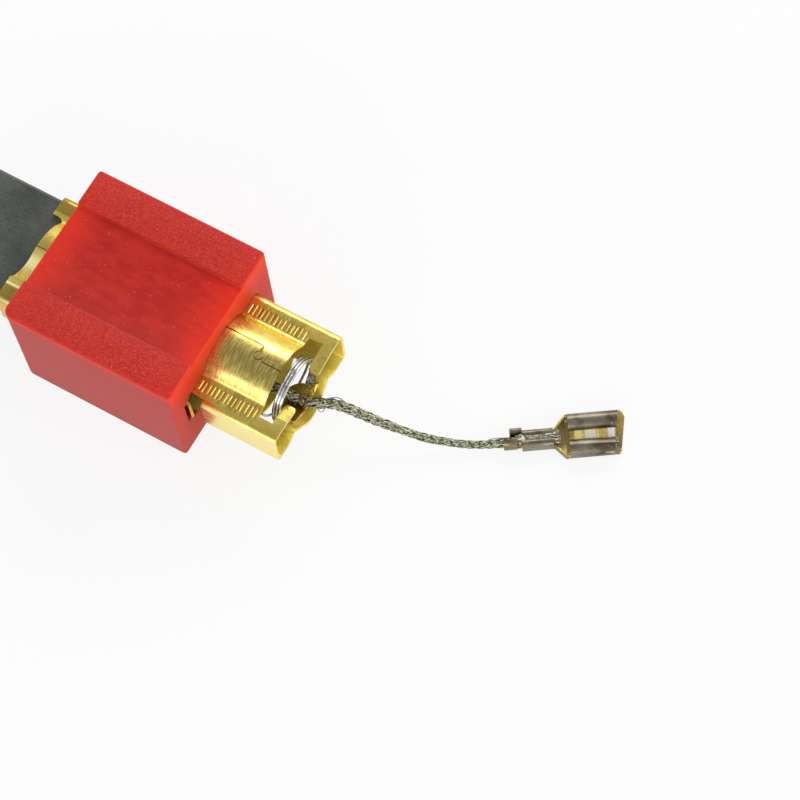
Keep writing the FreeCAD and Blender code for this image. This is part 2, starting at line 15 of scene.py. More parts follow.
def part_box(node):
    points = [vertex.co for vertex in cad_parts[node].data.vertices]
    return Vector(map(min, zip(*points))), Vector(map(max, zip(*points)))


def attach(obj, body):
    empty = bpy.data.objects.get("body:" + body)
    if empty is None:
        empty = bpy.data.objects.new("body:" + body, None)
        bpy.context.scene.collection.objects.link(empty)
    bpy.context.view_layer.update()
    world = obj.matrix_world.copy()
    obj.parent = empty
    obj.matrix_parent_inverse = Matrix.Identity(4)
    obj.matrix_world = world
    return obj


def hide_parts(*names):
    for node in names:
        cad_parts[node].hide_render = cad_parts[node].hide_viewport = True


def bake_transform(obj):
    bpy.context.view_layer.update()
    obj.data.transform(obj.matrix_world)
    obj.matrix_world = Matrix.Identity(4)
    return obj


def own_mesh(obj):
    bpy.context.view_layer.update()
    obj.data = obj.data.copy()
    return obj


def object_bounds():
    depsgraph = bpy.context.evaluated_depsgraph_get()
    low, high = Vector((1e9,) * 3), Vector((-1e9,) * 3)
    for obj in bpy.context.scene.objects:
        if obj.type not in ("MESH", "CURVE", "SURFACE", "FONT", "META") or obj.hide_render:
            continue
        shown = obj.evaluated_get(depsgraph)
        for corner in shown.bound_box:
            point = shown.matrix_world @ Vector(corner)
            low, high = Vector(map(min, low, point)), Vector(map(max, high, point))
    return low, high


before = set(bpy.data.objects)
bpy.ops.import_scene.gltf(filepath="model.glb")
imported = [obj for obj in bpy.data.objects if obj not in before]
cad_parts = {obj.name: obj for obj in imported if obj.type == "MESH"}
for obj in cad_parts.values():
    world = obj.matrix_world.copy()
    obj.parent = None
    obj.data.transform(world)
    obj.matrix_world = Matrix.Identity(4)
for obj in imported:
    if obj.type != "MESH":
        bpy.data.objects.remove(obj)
solid_bounds = [list(corner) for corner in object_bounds()]
MM = 0.001
NOISE_SEED = 7
noise.seed_set(NOISE_SEED)

# %% [markdown]
# The photograph looks down on the brush from its lead side, through a long lens that is turned a little.
# A camera is aimed at a point on the floor and then rolled about its own line of sight.

# %% Camera
CAMERA_PLACE = Vector((109.78, -97.30, 302.44)) * MM
CAMERA_TARGET = Vector((31.16, 7.92, 0.0)) * MM
CAMERA_ROLL = math.radians(-7.44)

level = (CAMERA_TARGET - CAMERA_PLACE).to_track_quat("-Z", "Y").to_matrix()
turned = (level @ Matrix.Rotation(CAMERA_ROLL, 3, "Z")).to_euler()
bpy.ops.object.select_all(action="DESELECT")
bpy.ops.object.camera_add(location=CAMERA_PLACE, rotation=turned)
camera = bpy.context.object
camera.name = "camera"
camera.data.lens = 120.5
camera.data.clip_start = 0.01
bpy.context.scene.camera = camera
print("camera is", round((CAMERA_TARGET - CAMERA_PLACE).length, 3), "m from its target")

# %% [markdown]
# A few habits are worth a helper each: make one piece active, pick points, edges or faces by their place,
# and apply a modifier. With them a piece is built just as by hand, one tool after the other.

# %% Helpers for modelling
def activate(piece):
    """Leave edit mode, and make this the only selected piece."""
    if bpy.context.mode != "OBJECT":
        bpy.ops.object.mode_set(mode="OBJECT")
    bpy.ops.object.select_all(action="DESELECT")
    piece.select_set(True)
    bpy.context.view_layer.objects.active = piece


def pick(piece, kind, wanted):
    """Select, in edit mode, the vertices, edges or faces whose middle passes a test."""
    activate(piece)
    bpy.ops.object.mode_set(mode="EDIT")
    bpy.ops.mesh.select_mode(type=kind)
    bpy.ops.mesh.select_all(action="DESELECT")
    bpy.ops.object.mode_set(mode="OBJECT")
    mesh = piece.data
    parts = {"VERT": mesh.vertices, "EDGE": mesh.edges, "FACE": mesh.polygons}[kind]
    for part in parts:
        if kind == "VERT":
            middle = part.co
        elif kind == "FACE":
            middle = part.center
        else:
            middle = (mesh.vertices[part.vertices[0]].co + mesh.vertices[part.vertices[1]].co) / 2
        part.select = wanted(middle)
    bpy.ops.object.mode_set(mode="EDIT")


def push(piece, rule):
    """Push points of a piece to a new place; the rule gives the place, or None for a point that stays."""
    activate(piece)
    for vertex in piece.data.vertices:
        place = rule(vertex.co)
        if place is not None:
            vertex.co = place


def modify(piece, kind, **settings):
    """Add a modifier, set it, and apply it."""
    activate(piece)
    modifier = piece.modifiers.new(kind.title(), kind)
    for setting, value in settings.items():
        setattr(modifier, setting, value)
    bpy.ops.object.modifier_apply(modifier=modifier.name)


def carve(piece, cutter):
    """Cut another piece out of this one, and clear the other piece away."""
    modify(piece, "BOOLEAN", operation="DIFFERENCE", solver="EXACT", object=cutter)
    bpy.data.objects.remove(cutter)


def smooth(piece, angle=35):
    """Smooth shading, with an edge kept wherever faces meet at more than the angle."""
    activate(piece)
    bpy.ops.object.shade_smooth_by_angle(angle=math.radians(angle))


def tidy(piece):
    """Merge doubled points and turn all the faces outwards."""
    activate(piece)
    bpy.ops.object.mode_set(mode="EDIT")
    bpy.ops.mesh.select_all(action="SELECT")
    bpy.ops.mesh.remove_doubles(threshold=1e-6)
    bpy.ops.mesh.normals_make_consistent(inside=False)
    bpy.ops.object.mode_set(mode="OBJECT")


def unite(name, pieces):
    """Join pieces into the first one, under a new name."""
    activate(pieces[0])
    for piece in pieces:
        piece.select_set(True)
    bpy.ops.object.join()
    pieces[0].name = name
    return pieces[0]


def give(piece, *materials):
    """Set a piece's materials, slot by slot."""
    while len(piece.data.materials) < len(materials):
        piece.data.materials.append(None)
    for index, material in enumerate(materials):
        piece.data.materials[index] = material


def one_slot(piece, slot):
    """Put all the faces of a piece in one of its slots."""
    for face in piece.data.polygons:
        face.material_index = slot


print("solids to dress:", len(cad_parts))

# %% [markdown]
# Most of this object is bent sheet metal. A press brake starts from the sheet's edge line, and so does
# the next helper: one point is drawn out along an outline, and the outline is then drawn out to a sheet.
# Solidify gives the sheet its thickness only when its form is done, so every wall is equally thick, and
# the cut edges can have a finish of their own.

# %% Helpers for sheet metal
def box_between(name, low, high):
    """A box between two corners."""
    bpy.ops.object.select_all(action="DESELECT")
    middle = (Vector(low) + Vector(high)) / 2
    bpy.ops.mesh.primitive_cube_add(size=1, location=middle)
    piece = bpy.context.object
    piece.scale = Vector(high) - Vector(low)
    bpy.ops.object.transform_apply(location=True, rotation=True, scale=True)
    piece.name = name
    return piece


def drawn_line(name, points):
    """One point, drawn out from place to place along an outline."""
    bpy.ops.object.select_all(action="DESELECT")
    bpy.ops.mesh.primitive_plane_add(size=MM, location=(0, 0, 0))
    piece = bpy.context.object
    piece.name = name
    bpy.ops.object.mode_set(mode="EDIT")
    bpy.ops.mesh.select_mode(type="VERT")
    bpy.ops.mesh.select_all(action="SELECT")
    bpy.ops.mesh.merge(type="CENTER")
    bpy.ops.transform.translate(value=points[0])
    for here, there in zip(points, points[1:]):
        bpy.ops.mesh.extrude_region_move(TRANSFORM_OT_translate={"value": there - here})
    bpy.ops.mesh.select_all(action="SELECT")
    bpy.ops.mesh.remove_doubles(threshold=1e-6)
    bpy.ops.object.mode_set(mode="OBJECT")
    return piece


def draw_out(piece, steps):
    """Draw the whole outline out along X, one step after the other."""
    activate(piece)
    bpy.ops.object.mode_set(mode="EDIT")
    bpy.ops.mesh.select_all(action="SELECT")
    for step in steps:
        bpy.ops.mesh.extrude_region_move(TRANSFORM_OT_translate={"value": (step, 0, 0)})
    bpy.ops.object.mode_set(mode="OBJECT")


def arc(centre, radius, start, end, steps):
    """Places along an arc in the YZ plane, from one angle in degrees to another."""
    places = []
    for index in range(steps + 1):
        angle = math.radians(start + (end - start) * index / steps)
        places.append(Vector((0, centre[0] + radius * math.cos(angle), centre[1] + radius * math.sin(angle))))
    return places


SIDES = [bpy.data.materials.new(name) for name in ("outer_side", "inner_side", "cut_edge")]


def thicken(piece, gauge, flipped=False):
    """Turn a sheet into a wall whose two sides and cut edges each have a finish of their own."""
    tidy(piece)
    if flipped:
        bpy.ops.object.mode_set(mode="EDIT")
        bpy.ops.mesh.flip_normals()
        bpy.ops.object.mode_set(mode="OBJECT")
    give(piece, *SIDES)
    modify(piece, "SOLIDIFY", thickness=gauge, offset=0, use_even_offset=False,
           material_offset=1, material_offset_rim=2)


print("sides of a sheet:", [side.name for side in SIDES])

# %% [markdown]
# The lead is a limp braid of tinned copper wire. Its route is a handful of given points: straight out
# of the carbon, through the spring, over the weld on the tongue, and across to the receptacle that
# lies on the floor. A NURBS spline through them is smooth of itself. The braid could be a plain tube
# with a bump, but its strands glint one by one, so here every strand is drawn along the spline.

# %% Route of the lead
LEAD_ROUTE = [(1.3, 0.0, 8.35), (6.0, 0.0, 8.35), (12.0, -0.15, 7.85), (17.4, -0.3, 6.85),
              (20.2, -0.05, 6.2), (21.9, 0.25, 5.55), (22.8, 0.5, 5.35), (23.5, 0.92, 4.8),
              (24.1, 1.42, 4.4), (25.55, 2.15, 4.38), (27.4, 2.5, 4.2), (30.2, 2.88, 3.55),
              (33.2, 3.52, 2.7), (36.1, 4.25, 1.85), (38.9, 5.25, 1.25), (41.6, 6.4, 0.95),
              (43.9, 7.72, 0.9), (45.6, 8.9, 0.98), (47.1, 10.0, 1.05)]
LEAD_DIAMETER = 1.4 * MM
WIRE_SPACING = 0.12 * MM


def smooth_curve(name, points, thickness=0.0, sides=2):
    """A NURBS curve in metres; its control points are given in millimetres."""
    data = bpy.data.curves.new(name, "CURVE")
    data.dimensions = "3D"
    data.resolution_u = 24
    spline = data.splines.new("NURBS")
    spline.points.add(len(points) - 1)
    for point, place in zip(spline.points, points):
        point.co = (*(Vector(place) * MM), 1)
    spline.order_u = 3
    spline.use_endpoint_u = True
    data.bevel_depth = thickness
    data.bevel_resolution = sides
    data.use_fill_caps = thickness > 0
    piece = bpy.data.objects.new(name, data)
    bpy.context.scene.collection.objects.link(piece)
    return piece


def even_places(curve, spacing):
    """Places along a curve's smooth line, one every spacing."""
    line = bpy.data.meshes.new_from_object(curve)
    corners = [vertex.co.copy() for vertex in line.vertices]
    places, left_over = [corners[0]], 0.0
    for here, there in zip(corners, corners[1:]):
        run = (there - here).length
        while left_over + run >= spacing:
            here = here.lerp(there, (spacing - left_over) / run)
            run = (there - here).length
            left_over = 0.0
            places.append(here.copy())
        left_over += run
    places.append(corners[-1])
    return places


route_curve = smooth_curve("lead_route", LEAD_ROUTE)
route_places = even_places(route_curve, WIRE_SPACING)
lead_length = sum((b - a).length for a, b in zip(route_places, route_places[1:]))
bpy.data.objects.remove(route_curve)
print("lead:", round(lead_length * 1000, 1), "mm over", len(route_places), "places")

# %% [markdown]
# A round braid has as many carriers that turn left as turn right, and they pass over and under each other
# in turn. Each carrier is two flattened strands side by side, because a flat strand glints as one flake.
# The radius of one family swells where the other's shrinks, which is all that weaving needs. A little
# noise in every strand's place makes the braid look handled instead of machined, and the free stretch is
# pulled slimmer than its two ends.

# %% Braid the lead
CARRIERS = 4
STRANDS = 2
STRAND_HALF = 0.16 * MM
STRAND_FLATNESS = 0.42
STRAND_STEP = 2.05 * STRAND_HALF
BRAID_PITCH = 9.5 * MM
WEAVE = 0.09 * MM
STRAY_TURN, STRAY_OUT = 0.16, 0.03 * MM
STRAY_EVERY = 1.6 * MM
CORE_RADIUS = 0.38 * MM
PULLED_FROM, PULLED_TO = 28, 49
PULLED_SLIMMER = 0.24
PULLED_RISE, PULLED_FALL = 8, 5


def slimness(s):
    """The share of its thickness that the braid keeps where it is pulled."""
    along = s / MM
    pulled = max(min((along - PULLED_FROM) / PULLED_RISE, (PULLED_TO - along) / PULLED_FALL, 1), 0)
    return 1 - PULLED_SLIMMER * pulled ** 2 * (3 - 2 * pulled)


def frames_along(places):
    """Two directions across a line at each of its places, carried along without twist."""
    across, frames = None, []
    for index, place in enumerate(places):
        along = (places[min(index + 1, len(places) - 1)] - places[max(index - 1, 0)]).normalized()
        if across is None:
            across = along.orthogonal().normalized()
        across = (across - along * across.dot(along)).normalized()
        frames.append((place, across.copy(), along.cross(across)))
    return frames


def tube_faces(rings, sides, first):
    """Faces of a tube of rings, with both ends closed."""
    faces = [tuple(first + side for side in range(sides))[::-1],
             tuple(first + (rings - 1) * sides + side for side in range(sides))]
    for ring in range(rings - 1):
        for side in range(sides):
            here, beside = first + ring * sides + side, first + ring * sides + (side + 1) % sides
            faces.append((here, beside, beside + sides, here + sides))
    return faces


def braided_mesh(name, places, half_thickness):
    """All the strands of a braid along a line, round a plain core."""
    frames = frames_along(places)
    middle = half_thickness - STRAND_HALF * STRAND_FLATNESS - WEAVE
    points, faces = [], []

    def add_tube(radius, flatness, sides, where):
        """Add one strand; its path gives the angle and the reach from the braid's middle."""
        first = len(points)
        for index, (place, across, up) in enumerate(frames):
            slim = slimness(index * WIRE_SPACING)
            angle, reach = where(index * WIRE_SPACING)
            outward = across * math.cos(angle) + up * math.sin(angle)
            sideways = up * math.cos(angle) - across * math.sin(angle)
            centre = place + outward * reach * slim
            for side in range(sides):
                turn = 2 * math.pi * side / sides
                offset = outward * math.cos(turn) * flatness + sideways * math.sin(turn)
                points.append(centre + offset * radius * slim)
        faces.extend(tube_faces(len(frames), sides, first))

    add_tube(CORE_RADIUS, 1.0, 10, lambda s: (0.0, 0.0))
    for hand in (1, -1):
        for carrier in range(CARRIERS):
            for strand in range(STRANDS):
                beside = (strand - (STRANDS - 1) / 2) * STRAND_STEP / middle
                start = 2 * math.pi * carrier / CARRIERS + beside
                number = hand * (10 * carrier + strand + 3)

                def where(s, hand=hand, start=start, number=number):
                    """The strand's angle and reach at a place along the lead."""
                    turn = 2 * math.pi * s / BRAID_PITCH
                    stray = noise.noise_vector(Vector((s / STRAY_EVERY, number * 1.7, 0.3)))
                    swell = hand * WEAVE * math.cos(CARRIERS * turn) + STRAY_OUT * stray.y
                    return hand * turn + start + STRAY_TURN * stray.x, middle + swell

                add_tube(STRAND_HALF, STRAND_FLATNESS, 8, where)
    mesh = bpy.data.meshes.new(name)
    mesh.from_pydata(points, [], faces)
    piece = bpy.data.objects.new(name, mesh)
    bpy.context.scene.collection.objects.link(piece)
    smooth(piece, 70)
    return piece


lead = braided_mesh("braided_lead", route_places, LEAD_DIAMETER / 2)
print("braid:", len(lead.data.polygons), "faces")

# %% [markdown]
# The receptacle is stamped from one strip. From the lead's end: two staggered wings that grip the braid,
# a crimp whose wings are rolled down into the wires like a letter B, a short flared neck, and a socket
# whose sides are curled over to press on a tab. Each stretch is drawn as its own outline, because its
# section changes there, and all share the strip's floor. It is built along X, from its own start, and
# laid down in its place when it is whole. The near grip wing closes over the braid; the far one stands up.

# %% Receptacle: sizes and grips
STRIP = 0.35 * MM
HALF_STRIP = STRIP / 2
TERMINAL_HEADING = math.radians(34)
CRIMP_FRONT, CRIMP_REAR = 2.2 * MM, 6.1 * MM
SOCKET_FRONT, SOCKET_REAR = 7.6 * MM, 15.1 * MM
CRIMP_HALF = 1.2 * MM
ROLL = 1.15 * MM
SOCKET_HALF = 2.85 * MM
GRIP_MIDDLE = 1.08 * MM
WEB_HALF = 0.62 * MM


def grip_wing(name, side, front, rear):
    """One wing: the near one closes over the braid, the far one stands upright beside it."""
    reach = GRIP_MIDDLE - HALF_STRIP
    if side < 0:
        hook = arc((0, GRIP_MIDDLE), reach, -90, 86, 20)
    else:
        hook = arc((0, GRIP_MIDDLE), reach, -90, 0, 12)
        hook += [Vector((0, 1.0 * MM, 1.55 * MM)), Vector((0, 1.16 * MM, 2.05 * MM))]
    outline = [Vector((0, side * place.y, place.z)) for place in hook]
    wing = drawn_line(name, outline)
    draw_out(wing, [rear - front])
    push(wing, lambda place: place + Vector((front, 0, 0)))
    thicken(wing, STRIP)
    one_slot(wing, 0)
    return wing


grips = [grip_wing("near_wing", -1, 0.0, 1.65 * MM), grip_wing("far_wing", 1, 0.8 * MM, 2.3 * MM)]
web = box_between("web", (0.0, -WEB_HALF, 0.0), (CRIMP_FRONT, WEB_HALF, STRIP))
print("grips:", [piece.name for piece in grips])

# %% [markdown]
# The crimp's two wings roll inwards and dig into the wires, so its end view is a letter B. It could be swept
# along a drawn curve, but one outline of arcs, drawn out once, keeps the wall even. The tool that closes
# a crimp leaves both of its ends a little wider, and so does the rule that pushes the end points here.

# %% Receptacle: crimp
LOBE = CRIMP_HALF / 2
LOBE_HEIGHT = 1.28 * MM
CORNER_RADIUS = 0.3 * MM
BELL_LENGTH = 0.25 * MM
BELL_WIDER, BELL_HIGHER = 1.04, 1.05


def crimp_outline():
    """Half of the letter B: down in the seam, over the lobe, down the side and along the floor."""
    reach = LOBE - HALF_STRIP
    seam = [Vector((0, LOBE - reach, 0.85 * MM))]
    lobe = arc((LOBE, LOBE_HEIGHT), reach, 180, 0, 12)
    centre = (CRIMP_HALF - HALF_STRIP - CORNER_RADIUS, HALF_STRIP + CORNER_RADIUS)
    half = seam + lobe + arc(centre, CORNER_RADIUS, 0, -90, 5)
    return half + [Vector((0, -place.y, place.z)) for place in reversed(half)]


crimp = drawn_line("crimp", crimp_outline())
draw_out(crimp, [BELL_LENGTH, CRIMP_REAR - CRIMP_FRONT - 2 * BELL_LENGTH, BELL_LENGTH])
crimp_middle = (CRIMP_FRONT + CRIMP_REAR) / 2
push(crimp, lambda place: place + Vector((CRIMP_FRONT, 0, 0)))


def bell_mouth(place):
    """The ends of a crimp are left a little wider than its middle."""
    if abs(place.x - crimp_middle) < (CRIMP_REAR - CRIMP_FRONT) / 2 - 0.1 * MM:
        return None
    return Vector((place.x, place.y * BELL_WIDER, max(HALF_STRIP, place.z * BELL_HIGHER)))


push(crimp, bell_mouth)
thicken(crimp, STRIP, flipped=True)
print("crimp:", len(crimp.data.polygons), "faces")

# %% [markdown]
# A tab slides in between the socket's curls and its floor. The curls' rear ends are cut at a slant and set
# back from the floor, so that the tab finds its way in; their last points are simply pushed forward. The
# neck is an outline of its own, drawn out and then pushed wider, point by point, until it meets the curls.

# %% Receptacle: neck and socket
LIP_ANGLE = 10
MOUTH_SLANT = 1.0 * MM
MOUTH_BACK = 0.85 * MM
NECK_LAP = 0.2 * MM
NECK_FOOT = 0.27 * MM
NECK_RISE, NECK_TOP = 0.45 * MM, 1.05 * MM


def socket_outline():
    """A curled side, the floor and the other curled side."""
    reach = ROLL - HALF_STRIP
    far = arc((SOCKET_HALF - ROLL, ROLL), reach, 180 - LIP_ANGLE, -90, 26)
    return far + [Vector((0, -place.y, place.z)) for place in reversed(far)]


socket = drawn_line("socket", socket_outline())
draw_out(socket, [0.4 * MM, 2.2 * MM, SOCKET_REAR - SOCKET_FRONT - 3.8 * MM, 1.2 * MM])
push(socket, lambda place: place + Vector((SOCKET_FRONT, 0, 0)))


def shape_mouth(place):
    """The curls end short of the floor at the mouth, and their rear end is cut at a slant."""
    if place.x > SOCKET_REAR - 0.1 * MM:
        back = min(max((place.z - STRIP) / (1.2 * MM), 0), 1) * MOUTH_BACK
        back += (1 - place.y / SOCKET_HALF) * MOUTH_SLANT / 2
        return Vector((place.x - back, place.y, place.z))
    if place.x < SOCKET_FRONT + 0.1 * MM and place.z > 1.2 * MM:
        return Vector((place.x + 0.35 * MM, place.y, place.z))
    return None


push(socket, shape_mouth)
thicken(socket, STRIP)

neck_half = CRIMP_HALF - HALF_STRIP
neck = drawn_line("neck", [Vector((0, -neck_half, NECK_TOP)), Vector((0, -neck_half, NECK_RISE)),
                           Vector((0, -neck_half + NECK_FOOT, HALF_STRIP)),
                           Vector((0, neck_half - NECK_FOOT, HALF_STRIP)),
                           Vector((0, neck_half, NECK_RISE)), Vector((0, neck_half, NECK_TOP))])
draw_out(neck, [0.3 * MM, SOCKET_FRONT - CRIMP_REAR - NECK_LAP, 0.3 * MM])
NECK_FLARE = (SOCKET_HALF - HALF_STRIP - 0.15 * MM) / neck_half


def flare_neck(place):
    """The neck widens from the crimp to the socket's curls."""
    share = min(max((place.x - 0.3 * MM) / (SOCKET_FRONT - CRIMP_REAR - NECK_LAP), 0), 1)
    wide = place.y * (1 + (NECK_FLARE - 1) * share)
    return Vector((place.x + CRIMP_REAR - NECK_LAP, wide, place.z))


push(neck, flare_neck)
thicken(neck, STRIP)
print("socket:", len(socket.data.polygons), "faces; neck:", len(neck.data.polygons), "faces")

# %% [markdown]
# In the socket a springy tongue stands over the floor and presses on the tab, and the tab locks on a
# small detent beneath it. The tongue's flats shine one by one, so it is a sheet in five steps with its
# corners pushed down by a trifle. The detent and the rib before it start as cubes with their corners
# rounded away, which is quicker than pulling the floor itself up.

# %% Receptacle: tongue and detent
TAB_TONGUE_START = 8.6 * MM
TAB_TONGUE_STEPS = [0.9 * MM, 0.25 * MM, 1.6 * MM, 0.25 * MM, 2.1 * MM]
TAB_TONGUE_DIPS = {0.9: 0.0, 1.15: -0.14, 2.75: 0.02, 3.0: -0.14}
TAB_TONGUE_SIDE = 0.75 * MM
TAB_TONGUE_HEIGHT, TAB_TONGUE_TILT = 1.02 * MM, 0.16 * MM


def pressed_dot(name, centre, length, width, rise):
    """A rounded pad that stands up out of the floor."""
    low = (centre - length / 2, -width / 2, STRIP / 2)
    dot = box_between(name, low, (centre + length / 2, width / 2, STRIP + rise))
    modify(dot, "BEVEL", width=min(rise, width / 3), segments=3, limit_method="ANGLE")
    return dot


def raised_tongue():
    """The springy tongue: three flats, tilted a little to the near side."""
    edges = [Vector((0, side * TAB_TONGUE_SIDE, TAB_TONGUE_HEIGHT + side * TAB_TONGUE_TILT))
             for side in (-1, 1)]
    tongue = drawn_line("raised_tongue", edges)
    draw_out(tongue, TAB_TONGUE_STEPS)

    def shape(place):
        """Push the ends of a flat down, and the tongue to its place."""
        dip = sum(depth for start, depth in TAB_TONGUE_DIPS.items() if abs(place.x / MM - start) < 0.05)
        return Vector((place.x + TAB_TONGUE_START, place.y, place.z + dip * MM))

    push(tongue, shape)
    thicken(tongue, 0.2 * MM)
    one_slot(tongue, 1)
    return tongue


dots = [pressed_dot("detent", 11.4 * MM, 1.1 * MM, 0.7 * MM, 0.5 * MM),
        pressed_dot("front_rib", 9.2 * MM, 0.5 * MM, 0.9 * MM, 0.5 * MM)]
print("pressed up:", [dot.name for dot in dots])

# %% [markdown]
# Stamped edges are never quite sharp, so a fine bevel breaks every edge before the stretches are joined.
# Then the whole strip is turned to its heading and set down where the lead ends, and the turn is applied,
# so that the finished piece sits unturned at the origin and its patterns keep still.

# %% Receptacle: join, and lay down in place
for part in [web] + dots:
    modify(part, "BEVEL", width=0.03 * MM, segments=2, limit_method="ANGLE")
    give(part, SIDES[0])
for part in grips + [crimp, neck, socket]:
    modify(part, "BEVEL", width=0.05 * MM, segments=2, limit_method="ANGLE", angle_limit=math.radians(50))
terminal = unite("receptacle", [crimp, neck, socket, web, raised_tongue()] + grips + dots)
along = Vector((math.cos(TERMINAL_HEADING), math.sin(TERMINAL_HEADING), 0))
TERMINAL_PLACE = Vector(LEAD_ROUTE[-1]) * MM - along * CRIMP_FRONT
TERMINAL_PLACE.z = 0


def lay_down(piece):
    """Turn a piece that was built along X into the receptacle's place."""
    activate(piece)
    piece.rotation_euler.z = TERMINAL_HEADING
    piece.location = TERMINAL_PLACE
    bpy.ops.object.transform_apply(location=True, rotation=True, scale=True)
    smooth(piece)


lay_down(terminal)

# %% [markdown]
# Inside the crimp the braid is pressed solid, and its cut wires stick out a little behind. The solid part
# is a rounded box that fills the crimp. The ends are single wires of uneven length, each bent its own
# way. Noise picks the ways, and its fixed seed keeps them the same each time.

# %% Crimped wires
WIRE_ENDS = 44
WIRE_SPREAD = 0.7
WIRE_LOW, WIRE_HIGH = 0.75, 1.5
SINGLE_WIRE = 0.075 * MM
PRESSED_HALF = 0.85 * MM


def bent_wire(name, points, radius, sides, steps=24):
    """A round wire along the points, turned into a mesh."""
    wire = smooth_curve(name, points, radius, sides)
    wire.data.resolution_u = steps
    activate(wire)
    bpy.ops.object.convert(target="MESH")
    return bpy.context.object


def wire_paths():
    """Cut ends behind the crimp, wires that run in at its front, and three that lie in its seam."""
    front, rear = CRIMP_FRONT / MM, CRIMP_REAR / MM
    paths = []
    for index in range(WIRE_ENDS):
        wobble = noise.noise_vector(Vector((index * 3.7, 1.3, 0.2)))
        y = -WIRE_SPREAD + 2 * WIRE_SPREAD * ((index * 5) % WIRE_ENDS) / (WIRE_ENDS - 1)
        z = WIRE_LOW + (WIRE_HIGH - WIRE_LOW) * ((index * 9) % WIRE_ENDS) / (WIRE_ENDS - 1)
        tip = rear + 0.55 + 0.5 * abs(wobble.x)
        paths.append([(rear - 0.3, y, z), (rear + 0.1, y, z),
                      (rear + 0.3, y * 1.1 + 0.1 * wobble.z, z + 0.1),
                      (tip, y * 1.2 + 0.35 * wobble.y, z + 0.2 + 0.25 * wobble.z)])
        paths.append([(front + 0.45, y * 0.4, z + 0.2), (front + 0.1, y * 0.6, z + 0.4),
                      (front - 0.2, y * 0.8 + 0.4 * wobble.x, z + 0.4),
                      (front - 0.75, y * 0.6 + 0.3 * wobble.y, z + 0.1)])
    for y in (-0.2, 0.0, 0.19):
        paths.append([(front - 0.5, 2 * y, 1.35), (front + 0.3, y, 1.85),
                      ((front + rear) / 2, y, 1.8 + 0.3 * y),
                      (rear - 0.3, y * 1.2, 1.85), (rear + 0.6, 2.5 * y, 1.4)])
    return paths


def crimped_wires():
    """The pressed wires in the crimp, with their cut ends."""
    core = box_between("crimp_core", (CRIMP_FRONT - 0.15 * MM, -PRESSED_HALF, 0.3 * MM),
                       (CRIMP_REAR + 0.1 * MM, PRESSED_HALF, 1.5 * MM))
    modify(core, "BEVEL", width=0.35 * MM, segments=3, limit_method="ANGLE")
    strands = [bent_wire("wire_end", path, SINGLE_WIRE, 1, 8) for path in wire_paths()]
    return unite("crimped_wires", [core] + strands)


wires = crimped_wires()
lay_down(wires)
print("crimped wires:", len(wires.data.polygons), "faces")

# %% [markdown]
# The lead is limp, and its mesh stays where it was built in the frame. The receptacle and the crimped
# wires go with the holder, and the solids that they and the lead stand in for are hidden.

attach(terminal, "holder")
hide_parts("receptacle_terminal")
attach(wires, "holder")
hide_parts("lead_inner", "lead_weld", "lead_outer")
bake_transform(lead)
print("cord:", lead.name, "with", terminal.name, "and", wires.name)

# %% [markdown]
# Where the lead lies on the tongue it is welded fast: a squashed coppery lump with loose wires across it.
# A sphere is the start. Displace makes it uneven, and bent wires are laid over it.

# %% Weld on the tongue
WELD_MIDDLE = Vector((22.45, 0.32, 5.38)) * MM
WELD_RADIUS = 0.72 * MM
WELD_TURN = math.radians(28)
THICK_WIRE, THIN_WIRE = 0.2 * MM, 0.1 * MM
CROSSINGS = ((-0.55, 0.5, 6.2), (-0.2, 0.55, 6.25), (0.35, -0.2, 6.2), (0.75, 0.7, 6.0))


def crossing_path(shift, lean, top):
    """A wire over the weld: its shift along the tube, its lean and the height of its top."""
    x, y, z = WELD_MIDDLE / MM
    x += shift
    return [(x - lean, y - 0.85, z - 0.4), (x - 0.6 * lean, y - 0.65, z + 0.5), (x, y, top),
            (x + 0.6 * lean, y + 0.65, z + 0.5), (x + lean, y + 0.85, z - 0.4)]


def make_weld():
    """The lump, and the wires that cross it."""
    bpy.ops.object.select_all(action="DESELECT")
    bpy.ops.mesh.primitive_ico_sphere_add(subdivisions=5, radius=WELD_RADIUS, location=(0, 0, 0))
    lump = bpy.context.object
    lump.scale = (1.35, 1.0, 0.8)
    lump.rotation_euler = (0, WELD_TURN, WELD_TURN)
    lump.location = WELD_MIDDLE
    bpy.ops.object.transform_apply(location=True, rotation=True, scale=True)
    grain = bpy.data.textures.new("weld_grain", "CLOUDS")
    grain.noise_scale = 0.45 * MM
    modify(lump, "DISPLACE", texture=grain, strength=0.24 * MM, mid_level=0.5, texture_coords="LOCAL")
    strands = []
    for number, crossing in enumerate(CROSSINGS):
        radius = THIN_WIRE if number else THICK_WIRE
        strands.append(bent_wire("crossing_wire", crossing_path(*crossing), radius, 3))
    return unite("lead_weld_lump", [lump] + strands)


weld = make_weld()
smooth(weld, 60)
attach(weld, "holder")
print("weld:", len(weld.data.polygons), "faces")

# %% [markdown]
# A few wires of the braid have sprung loose. One makes a small loop beside the weld, and the others stand
# off by a wire's width further along.

# %% Loose wires
LOOSE_WIRES = [[(23.7, 0.9, 4.7), (24.1, 0.6, 4.8), (24.6, 0.25, 4.6),
                (24.9, 0.6, 4.4), (24.8, 1.2, 4.5), (24.5, 1.6, 4.6)],
               [(24.4, 2.1, 4.7), (25.4, 2.9, 4.9), (26.4, 3.0, 4.6), (27.2, 2.7, 4.4)],
               [(36.0, 3.7, 1.9), (37.0, 3.9, 1.9), (38.4, 4.4, 1.6), (39.2, 5.0, 1.3)],
               [(43.6, 8.1, 1.3), (44.4, 8.7, 1.5), (45.3, 9.2, 1.5), (46.2, 9.7, 1.3)]]
LOOSE_RADIUS = 0.06 * MM


